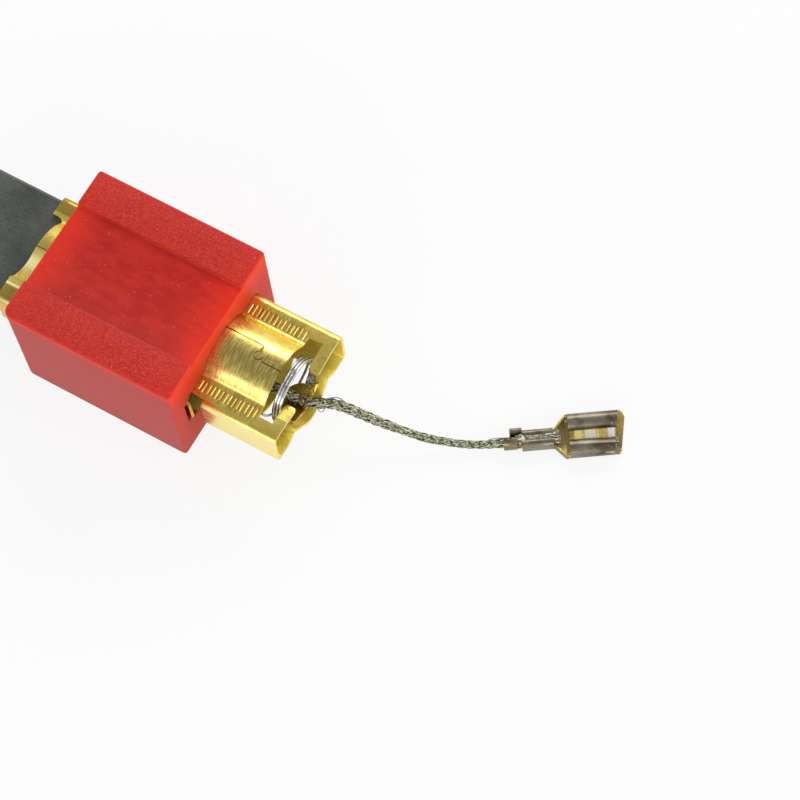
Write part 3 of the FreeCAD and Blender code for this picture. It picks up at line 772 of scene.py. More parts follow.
loose_wires = unite("loose_wires", [bent_wire("loose_wire", path, LOOSE_RADIUS, 2) for path in LOOSE_WIRES])
smooth(loose_wires, 60)
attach(loose_wires, "holder")
print("loose wires:", len(LOOSE_WIRES))

# %% [markdown]
# Two pieces need the tube's section: the block's passage and the tube itself, so it is drawn once. It has
# a flat at each side, a round bulge above and below, and a small round valley between them. Where the arcs
# meet without a kink follows from their radii, so those places are worked out and not typed.

# %% Sizes of the tube's section
block_low, block_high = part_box("insulator_block")
tube_low, tube_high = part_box("brush_tube")
AXIS_Z = block_high.z / 2
GAUGE = 0.4 * MM
BULGE = (tube_high.z - tube_low.z) / 2
VALLEY = 1.0 * MM
FOLD = 0.9 * MM
FLAT = 3.0 * MM
SIDE = 8.0 * MM
FOOT = math.sqrt((BULGE + VALLEY) ** 2 - (FLAT + VALLEY) ** 2)
TOUCH = math.degrees(math.acos((FLAT + VALLEY) / (BULGE + VALLEY)))
UPPER_WINDOW_HALF = 5.9 * MM


def tube_outline(inset):
    """The tube's closed section, shrunk all round by the inset: flats, valleys and two round bulges."""
    flat_end, side_end = SIDE - FOLD, FLAT - FOLD
    half = [Vector((0, SIDE - inset, 0))]
    half += arc((flat_end, side_end), FOLD - inset, 0, 90, 8)
    half += [Vector((0, UPPER_WINDOW_HALF, FLAT - inset))]
    half += arc((FOOT, FLAT + VALLEY), VALLEY + inset, -90, -90 - TOUCH, 10)
    half += arc((0, 0), BULGE - inset, 90 - TOUCH, 90 + TOUCH, 44)[1:]
    half += [Vector((0, -place.y, place.z)) for place in reversed(half[:-45])][1:]
    other = [Vector((0, -place.y, -place.z)) for place in half]
    outline = half[:-1] + other[:-1] + [half[0]]
    return [place + Vector((0, 0, AXIS_Z)) for place in outline]


print("bulge", round(BULGE * 1000, 2), "foot", round(FOOT * 1000, 2), "touch", round(TOUCH, 1))

# %% [markdown]
# The block is moulded in one piece. Only the corner of its near post is well rounded; the other edges are
# just broken. The shallow groove runs along its top, and the tube's passage goes right through, with a
# recess at the near side for the tube's barb. A box is bevelled where the corner is round, the voids are
# cut out, and one last small bevel breaks all the edges.

# %% Block
GROOVE_HALF = 5.9 * MM
GROOVE_DEPTH = 0.55 * MM
POST_RADIUS = 1.2 * MM
CORNER_BREAK, EDGE_BREAK = 0.45 * MM, 0.22 * MM
PASSAGE_CLEARANCE = 0.05 * MM
RECESS_DEPTH, RECESS_SIDE = 1.6 * MM, 0.8 * MM


def make_block():
    """The moulded block with its groove, passage and recess."""
    block = box_between("block", block_low, block_high)
    beyond = 1.0 * MM
    pick(block, "EDGE", lambda middle: middle.x < block_low.x + MM and middle.y < block_low.y + MM
         and abs(middle.z - AXIS_Z) < MM)
    bpy.ops.mesh.bevel(offset=POST_RADIUS, segments=10, affect="EDGES")
    pick(block, "EDGE", lambda middle: abs(middle.z - AXIS_Z) < MM and (middle.x > 0 or middle.y > 0))
    bpy.ops.mesh.bevel(offset=CORNER_BREAK, segments=5, affect="EDGES")
    bpy.ops.object.mode_set(mode="OBJECT")
    carve(block, box_between("groove", (block_low.x - beyond, -GROOVE_HALF, block_high.z - GROOVE_DEPTH),
                             (block_high.x + beyond, GROOVE_HALF, block_high.z + beyond)))
    passage = drawn_line("passage", tube_outline(-PASSAGE_CLEARANCE))
    activate(passage)
    bpy.ops.object.mode_set(mode="EDIT")
    bpy.ops.mesh.select_all(action="SELECT")
    bpy.ops.mesh.edge_face_add()
    bpy.ops.transform.translate(value=(block_low.x - beyond, 0, 0))
    bpy.ops.mesh.extrude_region_move(
        TRANSFORM_OT_translate={"value": (block_high.x - block_low.x + 2 * beyond, 0, 0)})
    tidy(passage)
    carve(block, passage)
    recess_low = (block_high.x - RECESS_DEPTH, -SIDE - RECESS_SIDE, AXIS_Z - FLAT + FOLD)
    carve(block, box_between("recess", recess_low, (block_high.x + beyond, 0, AXIS_Z + FLAT - FOLD)))
    modify(block, "BEVEL", width=EDGE_BREAK, segments=3, limit_method="ANGLE", angle_limit=math.radians(60))
    smooth(block, 40)
    return block


block = make_block()
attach(block, "holder")
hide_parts("insulator_block")
print("block:", len(block.data.polygons), "faces")

# %% [markdown]
# The tube is one brass sheet, folded up until its two edges meet in a dovetail on top. Boxes could be cut
# out of a solid tube for its openings, but here the closed outline is drawn out in steps that fall where
# windows and slots begin and end, so each opening is just a few faces deleted.

# %% Tube: the folded sheet
STATIONS = [tube_low.x, tube_low.x + 1.7 * MM, 10.6 * MM, 13.5 * MM,
            18.5 * MM, 20.4 * MM, 22.35 * MM, tube_high.x]
SETBACK_X, SLOT_X, SLOT_END_X, LOWER_WINDOW_X, WINDOW_X, EAR_X = STATIONS[1:7]
NEAR_SWEEP, FAR_SWEEP = 3.5 * MM, 0.9 * MM
LOWER_WINDOW_HALF = 4.7 * MM
FAR_EAR_END, NEAR_EAR_END = 2.1 * MM, -2.8 * MM
SLOT_DEPTH = 1.35 * MM

tube = drawn_line("brass_tube", tube_outline(GAUGE / 2))
push(tube, lambda place: place + Vector((STATIONS[0], 0, 0)))
draw_out(tube, [there - here for here, there in zip(STATIONS, STATIONS[1:])])


def front_edge(y):
    """Where the bulge's front edge lies along the tube, at a place across it."""
    radius = FAR_SWEEP if y > 0 else NEAR_SWEEP
    across = max(abs(y) - FOOT + radius, 0)
    return max(SETBACK_X - radius + math.sqrt(max(radius ** 2 - across ** 2, 0)), tube_low.x)


def in_opening(middle):
    """Whether a face of the sheet lies in a window, the slot or a set-back end."""
    x, y, z = middle.x, middle.y, middle.z - AXIS_Z
    if x < SETBACK_X:
        return abs(y) < FOOT - 0.05 * MM and front_edge(y) > tube_low.x + 0.05 * MM
    if x > EAR_X and z > 0:
        return NEAR_EAR_END < y < FAR_EAR_END
    if z > 0 and WINDOW_X < x < EAR_X:
        return abs(y) < UPPER_WINDOW_HALF
    if z < 0 and LOWER_WINDOW_X < x < EAR_X:
        return abs(y) < LOWER_WINDOW_HALF
    return SLOT_X < x < SLOT_END_X and y < SLOT_DEPTH - SIDE


pick(tube, "FACE", in_opening)
bpy.ops.mesh.delete(type="FACE")
bpy.ops.object.mode_set(mode="OBJECT")
print("sheet:", len(tube.data.polygons), "faces")

# %% [markdown]
# Behind the window a press forms the sheet's end: the lower part goes down into a trough, and the upper
# edges stay as two ears that hold the spring back. At the front the bulges are cut back in a round sweep.
# All three are rules that push the sheet's points, because the height of a trough or the place of an edge
# depends only on where a point lies across the tube.

# %% Tube: trough, ears and front edge
TROUGH_RIM_HALF = 4.1 * MM
TROUGH_RIM = -1.7 * MM
TROUGH_BOTTOM = -5.15 * MM
TROUGH_RADIUS = 2.3 * MM
EAR_DROP = 0.45 * MM
EAR_CORNER = 0.45 * MM
SHEET_FLAT = FLAT - GAUGE / 2


def trough_slope():
    """How steep the flanks are, for a round bottom at the trough's depth."""
    drop = TROUGH_RIM - TROUGH_BOTTOM
    apex = drop
    for _ in range(30):
        slope = math.atan2(apex, TROUGH_RIM_HALF)
        apex = drop + TROUGH_RADIUS * (1 / math.cos(slope) - 1)
    return slope


FLANK = trough_slope()


def trough_height(y):
    """The trough's height below the tube's axis, across the tube."""
    y = abs(y)
    if y < TROUGH_RADIUS * math.sin(FLANK):
        return TROUGH_BOTTOM + TROUGH_RADIUS - math.sqrt(TROUGH_RADIUS ** 2 - y ** 2)
    if y < TROUGH_RIM_HALF:
        return TROUGH_RIM - (TROUGH_RIM_HALF - y) * math.tan(FLANK)
    share = min((y - TROUGH_RIM_HALF) / (FOOT - TROUGH_RIM_HALF), 1)
    return TROUGH_RIM + share * (-SHEET_FLAT - TROUGH_RIM)


def soft_height(y):
    """The same, with its corners rounded off."""
    return sum(trough_height(y + shift * MM) for shift in (-0.3, -0.15, 0, 0.15, 0.3)) / 5


def press_end(place):
    """Press the sheet's end into the trough below and the ears above, and sweep the front edge back."""
    x, y, height = place.x, abs(place.y), place.z - AXIS_Z
    if abs(x - SETBACK_X) < 0.01 * MM and y < FOOT + 0.01 * MM:
        return Vector((front_edge(place.y), place.y, place.z))
    if x > EAR_X - 0.01 * MM and y < FOOT + 0.01 * MM:
        if height < 0:
            return Vector((x, place.y, AXIS_Z + soft_height(place.y)))
        end = FAR_EAR_END if place.y > 0 else -NEAR_EAR_END
        fall = min((FOOT - y) / (FOOT - end), 1) * EAR_DROP
        short = max(EAR_CORNER - (y - end), 0)
        rounding = EAR_CORNER - math.sqrt(max(EAR_CORNER ** 2 - short ** 2, 0))
        x += rounding if x < EAR_X + 0.01 * MM else -rounding
        return Vector((x, place.y, AXIS_Z + SHEET_FLAT - fall))
    return None


push(tube, press_end)
print("flank", round(math.degrees(FLANK), 1), "degrees")

# %% [markdown]
# The barb is a tongue of the near side wall, bent out to lock in the block's recess. Its root edges are
# picked at the slot and drawn out and sideways, and the two points of its tip are pushed a little closer
# together. Only now does the sheet get its thickness, with a fine bevel on its edges.

# %% Tube: barb, thickness and broken edges
BARB_HALF_HEIGHT = 1.85 * MM
BARB_TIP_HALF = 1.7 * MM
BARB_REACH = Vector((1.5 * MM, -0.5 * MM, 0))


def narrow_tip(place):
    """The barb narrows a little towards its tip."""
    if abs(place.x - SLOT_X - BARB_REACH.x) > 0.01 * MM or place.y > -SIDE:
        return None
    return Vector((place.x, place.y, AXIS_Z + math.copysign(BARB_TIP_HALF, place.z - AXIS_Z)))


pick(tube, "EDGE", lambda middle: abs(middle.x - SLOT_X) < 0.01 * MM and middle.y < GAUGE - SIDE
     and abs(middle.z - AXIS_Z) < BARB_HALF_HEIGHT)
bpy.ops.mesh.extrude_region_move(TRANSFORM_OT_translate={"value": BARB_REACH})
bpy.ops.object.mode_set(mode="OBJECT")
push(tube, narrow_tip)
thicken(tube, GAUGE)
modify(tube, "BEVEL", width=0.07 * MM, segments=2, limit_method="ANGLE", angle_limit=math.radians(50))
print("tube:", len(tube.data.polygons), "faces")

# %% [markdown]
# The joint of the sheet's two edges shows as a fine dark line along the top of the bulge. Near the window
# it swings round a dovetail lobe. A thin wall that stands on that line is cut out of the sheet, so the
# joint is a true gap that catches the light at its edges.

# %% Tube: seam
SEAM_FRONT_Y, SEAM_Y, SEAM_END_Y = -0.35, 1.5, -0.5
LOBE_X, LOBE_Y, LOBE_R = 17.1, 0.06, 0.56
SEAM_WIDTH = 0.11 * MM


def seam_line():
    """The seam in plan: along the bulge, round the dovetail and on to the window."""
    points = [(tube_low.x / MM - 1, SEAM_FRONT_Y), (-3.0, SEAM_FRONT_Y), (-2.5, SEAM_Y),
              (LOBE_X - 0.2, SEAM_Y), (LOBE_X - 0.02, SEAM_Y - 0.25),
              (LOBE_X - 0.15, LOBE_Y + LOBE_R + 0.12)]
    for step in range(15):
        angle = math.radians(105 + step * 17.5)
        points.append((LOBE_X + LOBE_R * math.cos(angle), LOBE_Y + LOBE_R * math.sin(angle)))
    points += [(LOBE_X + 0.62, SEAM_END_Y + 0.12), (LOBE_X + 0.95, SEAM_END_Y),
               (WINDOW_X / MM + 1, SEAM_END_Y)]
    return [Vector((x, y, 0)) * MM + Vector((0, 0, AXIS_Z + FLAT)) for x, y in points]


def standing_wall(name, line, height, width):
    """A thin wall over a line in plan."""
    wall = drawn_line(name, line)
    activate(wall)
    bpy.ops.object.mode_set(mode="EDIT")
    bpy.ops.mesh.select_all(action="SELECT")
    bpy.ops.mesh.extrude_region_move(TRANSFORM_OT_translate={"value": (0, 0, height)})
    tidy(wall)
    modify(wall, "SOLIDIFY", thickness=width, offset=0)
    return wall


carve(tube, standing_wall("seam", seam_line(), 4 * MM, SEAM_WIDTH))
print("seam cut;", len(tube.data.polygons), "faces")

# %% [markdown]
# Before it was folded, the sheet was scored: fourteen short flutes cross each upper flat, a little uneven.
# A row of rods presses them in, because a round flute glints on one side and is dark on the other, which a
# square groove doesn't. A round point leaves the pit on the bulge.

# %% Tube: score lines and pit
SCORES = 14
SCORE_FRONT, SCORE_REAR = 12.4, 20.0
SCORE_ROD = 0.22


def score_rods():
    """Rods that press the flutes into both flats; they differ a little in place, length and depth."""
    rods = []
    for side in (-1, 1):
        for index in range(SCORES):
            wobble = noise.noise_vector(Vector((index * 2.3, side * 5.1, 0.7)))
            x = SCORE_FRONT + (SCORE_REAR - SCORE_FRONT) * index / (SCORES - 1) + 0.1 * wobble.x
            depth = 0.11 + 0.05 * wobble.y
            length = 1.35 + 0.25 * wobble.z
            place = Vector((x, side * (5.1 + length / 2), AXIS_Z / MM + FLAT / MM + SCORE_ROD - depth)) * MM
            bpy.ops.object.select_all(action="DESELECT")
            bpy.ops.mesh.primitive_cylinder_add(vertices=28, radius=SCORE_ROD * MM, depth=length * MM,
                                                location=place, rotation=(math.pi / 2, 0, 0))
            rods.append(bpy.context.object)
    return unite("score_rods", rods)


carve(tube, score_rods())
PIT = Vector((12.8, -2.2, 0)) * MM
PIT.z = AXIS_Z + math.sqrt(BULGE ** 2 - PIT.y ** 2) + 0.05 * MM
bpy.ops.object.select_all(action="DESELECT")
bpy.ops.mesh.primitive_uv_sphere_add(segments=16, ring_count=10, radius=0.18 * MM, location=PIT)
carve(tube, bpy.context.object)
smooth(tube, 30)
print("scored:", len(tube.data.polygons), "faces")

# %% [markdown]
# A rounded tongue reaches forward from the trough, inside the spring's coil, and the lead is welded to its
# root. It is curved like the coil, and behind the coil it widens to a shelf that closes with the trough's
# flanks. It is drawn as an arc, drawn out in steps, and its tip is then pushed to a round end.

# %% Tube: tongue
TONGUE_RADIUS = 3.8 * MM
TONGUE_TIP_X = 19.4 * MM
TONGUE_HALF = 2.5 * MM
TONGUE_GAUGE = 0.36 * MM
SHELF_HALF = 2.95 * MM
SHELF_STEP = 0.25 * MM
SHELF_END_X = 22.95 * MM
HOLE_PLACE = Vector((22.55 * MM, 2.0 * MM, AXIS_Z - 2.98 * MM))
HOLE_RADIUS = 0.24 * MM


def make_tongue():
    """The tongue, its round tip, its shelf and the small hole in the shelf."""
    reach = math.degrees(math.asin(TONGUE_HALF / TONGUE_RADIUS))
    tongue = drawn_line("tongue", arc((0, AXIS_Z), TONGUE_RADIUS, -90 - reach, -90 + reach, 28))
    draw_out(tongue, [TONGUE_HALF, EAR_X - TONGUE_TIP_X - TONGUE_HALF,
                      SHELF_STEP, SHELF_END_X - EAR_X - SHELF_STEP])

    def shape(place):
        """Round the tip, widen the shelf, and curve both like the coil."""
        x, y = place.x + TONGUE_TIP_X, place.y
        if x < TONGUE_TIP_X + 0.01 * MM:
            x = TONGUE_TIP_X + TONGUE_HALF - math.sqrt(max(TONGUE_HALF ** 2 - y ** 2, 0)) - 0.02 * MM
        if x > EAR_X + 0.01 * MM:
            y = y * SHELF_HALF / TONGUE_HALF
        return Vector((x, y, AXIS_Z - math.sqrt(TONGUE_RADIUS ** 2 - y ** 2)))

    push(tongue, shape)
    thicken(tongue, TONGUE_GAUGE)
    modify(tongue, "BEVEL", width=0.06 * MM, segments=2, limit_method="ANGLE", angle_limit=math.radians(50))
    bpy.ops.mesh.primitive_uv_sphere_add(segments=20, ring_count=12, radius=HOLE_RADIUS, location=HOLE_PLACE)
    carve(tongue, bpy.context.object)
    smooth(tongue, 30)
    return tongue


tube = unite("brass_tube", [tube, make_tongue()])
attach(tube, "holder")
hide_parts("brush_tube")
print("tube:", len(tube.data.polygons), "faces")

# %% [markdown]
# The spring has three closed turns at each end and open ones between. Screw winds a ring of the wire's
# section about the tube's axis. Its pitch is one number, so the spring is wound as three stretches that
# share their end rings.

# %% Spring
WIRE = 0.36 * MM
COIL_RADIUS = 4.3 * MM
END_TURNS, FREE_TURNS = 3, 6
CLOSED_PITCH = 0.38 * MM
SPRING_START, SPRING_END = 1.51 * MM, 22.14 * MM
OPEN_PITCH = (SPRING_END - SPRING_START - 2 * END_TURNS * CLOSED_PITCH) / FREE_TURNS


def wound_stretch(start, turns, pitch):
    """One stretch of the spring, wound from the +Y side."""
    bpy.ops.object.select_all(action="DESELECT")
    bpy.ops.mesh.primitive_circle_add(vertices=14, radius=WIRE / 2, location=(0, COIL_RADIUS, 0))
    stretch = bpy.context.object
    bpy.ops.object.transform_apply(location=True, rotation=True, scale=True)
    modify(stretch, "SCREW", axis="X", angle=turns * 2 * math.pi, screw_offset=turns * pitch,
           steps=turns * 56, render_steps=turns * 56, use_merge_vertices=False)
    push(stretch, lambda place: place + Vector((start, 0, AXIS_Z)))
    return stretch


first_end = SPRING_START + END_TURNS * CLOSED_PITCH
second_end = first_end + FREE_TURNS * OPEN_PITCH
spring = unite("coil_spring", [wound_stretch(SPRING_START, END_TURNS, CLOSED_PITCH),
                               wound_stretch(first_end, FREE_TURNS, OPEN_PITCH),
                               wound_stretch(second_end, END_TURNS, CLOSED_PITCH)])
activate(spring)
bpy.ops.object.mode_set(mode="EDIT")
bpy.ops.mesh.select_all(action="SELECT")
bpy.ops.mesh.remove_doubles(threshold=2e-6)
bpy.ops.mesh.select_all(action="DESELECT")
bpy.ops.mesh.select_non_manifold()
bpy.ops.mesh.fill_holes(sides=0)
bpy.ops.object.mode_set(mode="OBJECT")
tidy(spring)
smooth(spring, 50)
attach(spring, "holder")
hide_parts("spring")
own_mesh(spring)
print("spring:", 2 * END_TURNS + FREE_TURNS, "turns, open pitch", round(OPEN_PITCH * 1000, 2), "mm")

# %% [markdown]
# The carbon is a plain pressed bar with bevelled edges, and its end is ground flat. A box gets the same
# bevels along its length and finer, broken edges at its ends, and the bore for the lead's plug is cut.

# %% Carbon
carbon_low, carbon_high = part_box("carbon_block")
plug_low, plug_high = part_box("contact_plug")
CARBON_BEVEL = 0.4 * MM


def make_carbon():
    """The carbon bar with its bevels and its bore."""
    bar = box_between("carbon_bar", carbon_low, carbon_high)
    centre_x = (carbon_low.x + carbon_high.x) / 2
    pick(bar, "EDGE", lambda middle: abs(middle.x - centre_x) < MM)
    bpy.ops.mesh.bevel(offset=CARBON_BEVEL, segments=1, affect="EDGES")
    bpy.ops.object.mode_set(mode="OBJECT")
    bpy.ops.object.select_all(action="DESELECT")
    radius = (plug_high.z - plug_low.z) / 2
    bpy.ops.mesh.primitive_cylinder_add(vertices=48, radius=radius, depth=(plug_high.x - plug_low.x) * 2,
                                        location=(plug_high.x, 0, AXIS_Z), rotation=(0, math.pi / 2, 0))
    carve(bar, bpy.context.object)
    modify(bar, "BEVEL", width=0.09 * MM, segments=2, limit_method="ANGLE", angle_limit=math.radians(30))
    smooth(bar, 30)
    return bar


carbon = make_carbon()
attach(carbon, "carbon")
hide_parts("carbon_block")
print("carbon:", len(carbon.data.polygons), "faces")

# %% [markdown]
# Finishes are sums of patterns. Written with nodes by hand they sprawl, so a socket is wrapped in a small
# class whose operators add Math nodes, and one method adds any other node. A finish starts from one
# colour, and others are laid over it, each where its mask is 1. Patterns read the object's own coordinates
# in millimetres, so a number in a finish is a real size.

# %% A small language for finishes
class Amount:
    """A number that varies over the surface; sums with it add Math nodes."""

    def __init__(self, finish, socket):
        self.finish = finish
        self.socket = socket

    def maths(self, operation, first, second=0.0):
        """One Math node on two numbers or sockets."""
        return self.finish.node("ShaderNodeMath", {"operation": operation}, {0: first, 1: second})

    def __add__(self, other):
        return self.maths("ADD", self, other)

    def __radd__(self, other):
        return self.maths("ADD", other, self)

    def __sub__(self, other):
        return self.maths("SUBTRACT", self, other)

    def __rsub__(self, other):
        return self.maths("SUBTRACT", other, self)

    def __mul__(self, other):
        return self.maths("MULTIPLY", self, other)

    def __rmul__(self, other):
        return self.maths("MULTIPLY", other, self)

    def __abs__(self):
        return self.maths("ABSOLUTE", self)


class Finish:
    """A material in the making."""

    def __init__(self, name):
        self.material = bpy.data.materials.new(name)
        self.material.use_nodes = True
        self.tree = self.material.node_tree
        self.shader = next(node for node in self.tree.nodes if node.type == "BSDF_PRINCIPLED")

    def node(self, kind, settings=None, values=None, give=0):
        """Add a node: its settings first, then values or links for its sockets; gives one output."""
        made = self.tree.nodes.new(kind)
        for setting, value in (settings or {}).items():
            setattr(made, setting, value)
        for place, value in (values or {}).items():
            if isinstance(value, Amount):
                self.tree.links.new(value.socket, made.inputs[place])
            else:
                made.inputs[place].default_value = value
        return Amount(self, made.outputs[give])

    def surface(self, **inputs):
        """Set the shader: constants on its own sockets, varying values by a link."""
        for name, value in inputs.items():
            socket = self.shader.inputs[name.replace("_", " ")]
            if isinstance(value, Amount):
                self.tree.links.new(value.socket, socket)
            else:
                socket.default_value = value
        return self.material

    def place(self, turn=0.0, origin=(0, 0, 0), stretch=(1, 1, 1)):
        """The object's own coordinates in millimetres, about an origin and turned about Z."""
        coordinates = self.node("ShaderNodeTexCoord", give="Object")
        moved = self.node("ShaderNodeVectorMath", {"operation": "SUBTRACT"}, {0: coordinates, 1: origin})
        scale = [1000 * value for value in stretch]
        return self.node("ShaderNodeMapping", {"vector_type": "POINT"},
                         {"Vector": moved, "Rotation": (0, 0, -turn), "Scale": scale})

    def apart(self, vector):
        """The three coordinates of a place."""
        made = self.tree.nodes.new("ShaderNodeSeparateXYZ")
        self.tree.links.new(vector.socket, made.inputs[0])
        return [Amount(self, output) for output in made.outputs]

    def cloud(self, place, size, detail=3.0, roughness=0.55):
        """Soft noise from 0 to 1, with features of about one size in millimetres."""
        return self.node("ShaderNodeTexNoise", None,
                         {"Vector": place, "Scale": 1 / size, "Detail": detail, "Roughness": roughness})

    def specks(self, place, size):
        """Distance to scattered points, 0 at each of them."""
        return self.node("ShaderNodeTexVoronoi", None, {"Vector": place, "Scale": 1 / size})

    def span(self, value, low, high, to_low=0.0, to_high=1.0):
        """A smooth step of a value from one range to another."""
        return self.node("ShaderNodeMapRange", {"interpolation_type": "SMOOTHSTEP"},
                         {"Value": value, "From Min": low, "From Max": high,
                          "To Min": to_low, "To Max": to_high})

    def mix(self, share, first, second):
        """Two colours mixed by a share."""
        return self.node("ShaderNodeMix", {"data_type": "RGBA"}, {0: share, 6: first, 7: second}, give=2)

    def over(self, colour, *layers):
        """Lay further colours over a colour in turn; each comes after the mask that it shows in."""
        for mask, tint in layers:
            colour = self.mix(mask, colour, tint)
        return colour

    def bump(self, height, depth):
        """A height in millimetres as a change of the surface's direction."""
        return self.node("ShaderNodeBump", None, {"Height": height, "Distance": depth * MM, "Strength": 1.0})


def paint(red, green, blue):
    """A colour written as it looks on a screen, from 0 to 255."""
    def linear(value):
        """The amount of light behind a screen's value."""
        value = value / 255
        return value / 12.92 if value <= 0.04045 else ((value + 0.055) / 1.055) ** 2.4

    return (linear(red), linear(green), linear(blue), 1.0)


print("a middle grey is", round(paint(128, 128, 128)[0], 3), "of full light")

# %% [markdown]
# The block is a red thermoset. Its faces are frosted by fine grain, with white specks of filler. Light that
# comes through its edges and ends is painted on, as a saturated glow and as highlights, and its near side
# and end faces get painted tones of shade and light. The groove's floor is smoother and darker.

# %% Moulded red
def moulded_red():
    """Red mouldings: grain, filler specks, painted glow, highlights and shade, and a smoother groove."""
    finish = Finish("moulded_red")
    place = finish.place()
    x, y, z = finish.apart(place)
    grain = finish.cloud(place, 0.2, 4, 0.7)
    clouds = finish.cloud(place, 3.0, 3)
    top = block_high.z / MM
    half_x, half_y, groove = block_high.x / MM, block_high.y / MM, GROOVE_HALF / MM
    in_groove = finish.span(abs(y), groove - 0.05, groove + 0.05, 1, 0)
    in_groove = in_groove * finish.span(z, top - 0.4, top - 0.15, 1, 0)
    in_groove = in_groove * finish.span(z, top - 1.0, top - 0.75)
    # A painted highlight: a brighter, more saturated red on the block's outer sides and their edges.
    rim = finish.span(abs(x), half_x - 0.35, half_x - 0.08)
    rim = rim + finish.span(abs(y), half_y - 0.35, half_y - 0.08)
    # The end faces get a painted tone, lighter and more orange, low down, and a painted highlight along their
    # tops.
    low_side = finish.span(z, top * 0.4, top - 1, 1, 0)
    end_highlight = finish.span(z, top * 0.75, top - 0.5) * finish.span(x, half_x - 0.3, half_x - 0.05)
    frosted = finish.mix(finish.span(grain, 0.36, 0.64), paint(170, 14, 4), paint(212, 54, 38))
    streaks = finish.cloud(finish.place(turn=0.5, stretch=(0.5, 1.2, 1)), 1.2, 3)
    floor = finish.mix(finish.span(streaks, 0.3, 0.7), paint(174, 16, 4), paint(190, 32, 16))
    # A painted glow near the block's ends, for light that comes through the red; it is strongest in the
    # groove.
    glow = finish.span(abs(x) + clouds * 2.0, half_x - 4.5, half_x + 1.4)
    glow = glow * finish.span(z, top - 1.2, top - 0.6)
    # The near side gets painted shade: a darker, greyer red, with a little less of it at the top edge.
    near_side = finish.span(y, -half_y + 0.02, -half_y + 0.3, 1, 0)
    near_side_shade = finish.mix(finish.span(grain, 0.36, 0.64), paint(150, 46, 44), paint(178, 72, 66))
    end_face = finish.span(x, half_x - 0.3, half_x - 0.05)
    spots = finish.span(finish.specks(place, 0.55), 0.06, 0.12, 1, 0)
    spots = spots * finish.span(finish.cloud(place, 0.8, 1), 0.5, 0.6)
    colour = finish.over(frosted,
                         (finish.span(clouds, 0.4, 0.7) * 0.3, paint(184, 30, 16)),
                         (in_groove, floor),
                         (glow * (0.15 + in_groove * 0.45), paint(240, 44, 10)),
                         (finish.span(rim, 0, 1) * 0.5, paint(238, 50, 30)),
                         (near_side * finish.span(z, top - 1.6, top - 0.5, 0.85, 0.2), near_side_shade),
                         (end_face * low_side * 0.6, paint(184, 58, 36)),
                         (end_highlight * 0.7, paint(244, 60, 20)),
                         (spots * 0.6, paint(240, 180, 168)))
    rough = finish.span(grain, 0.3, 0.7, 0.48, 0.62) - in_groove * 0.1
    height = (grain * 0.6 + finish.cloud(place, 0.05, 2) * 0.4) * (1 - in_groove * 0.7)
    return finish.surface(Base_Color=colour, Roughness=rough, Normal=finish.bump(height, 0.05),
                          Subsurface_Weight=0.06, Subsurface_Scale=0.0008,
                          Subsurface_Radius=(1.0, 0.25, 0.15), Specular_IOR_Level=0.35)


give(block, moulded_red())
print("finish:", block.data.materials[0].name)

# %% [markdown]
# Brass shows what it mirrors, and a few soft lamps can't give every band that the tube shows. So broad
# olive and pale bands are painted on as reflections, highlights and shade, each at its own place along and
# across the tube.
# Each band is a mask, a product of soft steps that is 1 inside the band and 0 outside, with a colour. The
# joint of the sheet gets a line of its own on top, because its gap alone is too fine to be seen from afar.

# %% Bands and lines on the tube's brass
FRONT_END = (-12.5, -11.5)
# Colours of a painted highlight and of a painted dark reflection at the front end, and the joint's own dark
# line.
PALE_GLINT = paint(255, 250, 180)
FRONT_DARK_REFLECTION = paint(150, 124, 52)
DARK_JOINT = paint(84, 66, 26)


def front_bands(finish, x, y):
    """Masks on the front end: painted dark reflections on the crest and the flats, and painted highlights
    where the sheet turns to the light.
    """
    at_front = finish.span(x, *FRONT_END, 1, 0)
    crest = at_front * finish.span(abs(y - 0.6), 0.9, 1.6, 0.5, 0)
    flats = at_front * finish.span(abs(y), 5.5, 5.8, 0, 0.75)
    flank = finish.span(abs(y + 2.6), 0.5, 1.5, 1, 0)
    valley = finish.span(abs(y + 5.4), 0.08, 0.25, 1, 0)
    wall = finish.span(y, -7.9, -7.3, 0.8, 0)
    return crest, flats, at_front * (flank + valley + wall) * 0.9


def rear_bands(finish, x, y, z, crosswise):
    """Bands behind the block, each a mask with its colour: painted shade in the recess, darker crosswise bars
    on the scored flats, a painted reflection low on the near flank, a painted highlight on the near wall, and
    a painted olive reflection over the bulge.
    """
    # Painted shade on the brass in the block's recess.
    recess_shade = finish.span(y, -7.9, -7.7, 1, 0) * finish.span(x, 12.2, 12.6, 0.95, 0)
    bars = finish.span(finish.cloud(finish.place(stretch=(1, 0.05, 0.05)), 0.4, 1), 0.46, 0.56)
    bars = bars * finish.span(x, 12.2, 12.8) * finish.span(x, 20.0, 20.5, 1, 0)
    bars = bars * finish.span(abs(z - 11.35), 0.1, 0.3, 1, 0) * finish.span(abs(y), 6.8, 7.2, 1, 0)
    # A painted reflection low on the near flank: darker gold, streaked across.
    low_flank_reflection = finish.span(y, -6.4, -5.4) * finish.span(y, -3.4, -2.6, 1, 0) * finish.span(z, 11.3, 11.8)
    low_flank_reflection = low_flank_reflection * finish.span(crosswise, 0.35, 0.65, 0.3, 0.8)
    # A painted highlight on the near wall just behind the block.
    near_wall_highlight = finish.span(y, -8.0, -7.7, 0.8, 0) * finish.span(x, 12.4, 13.4)
    # A painted olive reflection over the bulge, streaked across.
    olive = finish.span(abs(y + 1.9), 2.2, 3.5, 1, 0) * finish.span(z, 11.4, 12.0)
    olive = olive * finish.span(x, 11.0, 13.0)
    olive_reflection = finish.mix(finish.span(crosswise, 0.36, 0.64), paint(170, 146, 74), paint(230, 212, 132))
    return [(recess_shade, paint(214, 170, 66)), (bars * 0.4, paint(158, 118, 44)),
            (low_flank_reflection, paint(190, 156, 66)), (near_wall_highlight, paint(255, 250, 200)), (olive * 0.85, olive_reflection)]


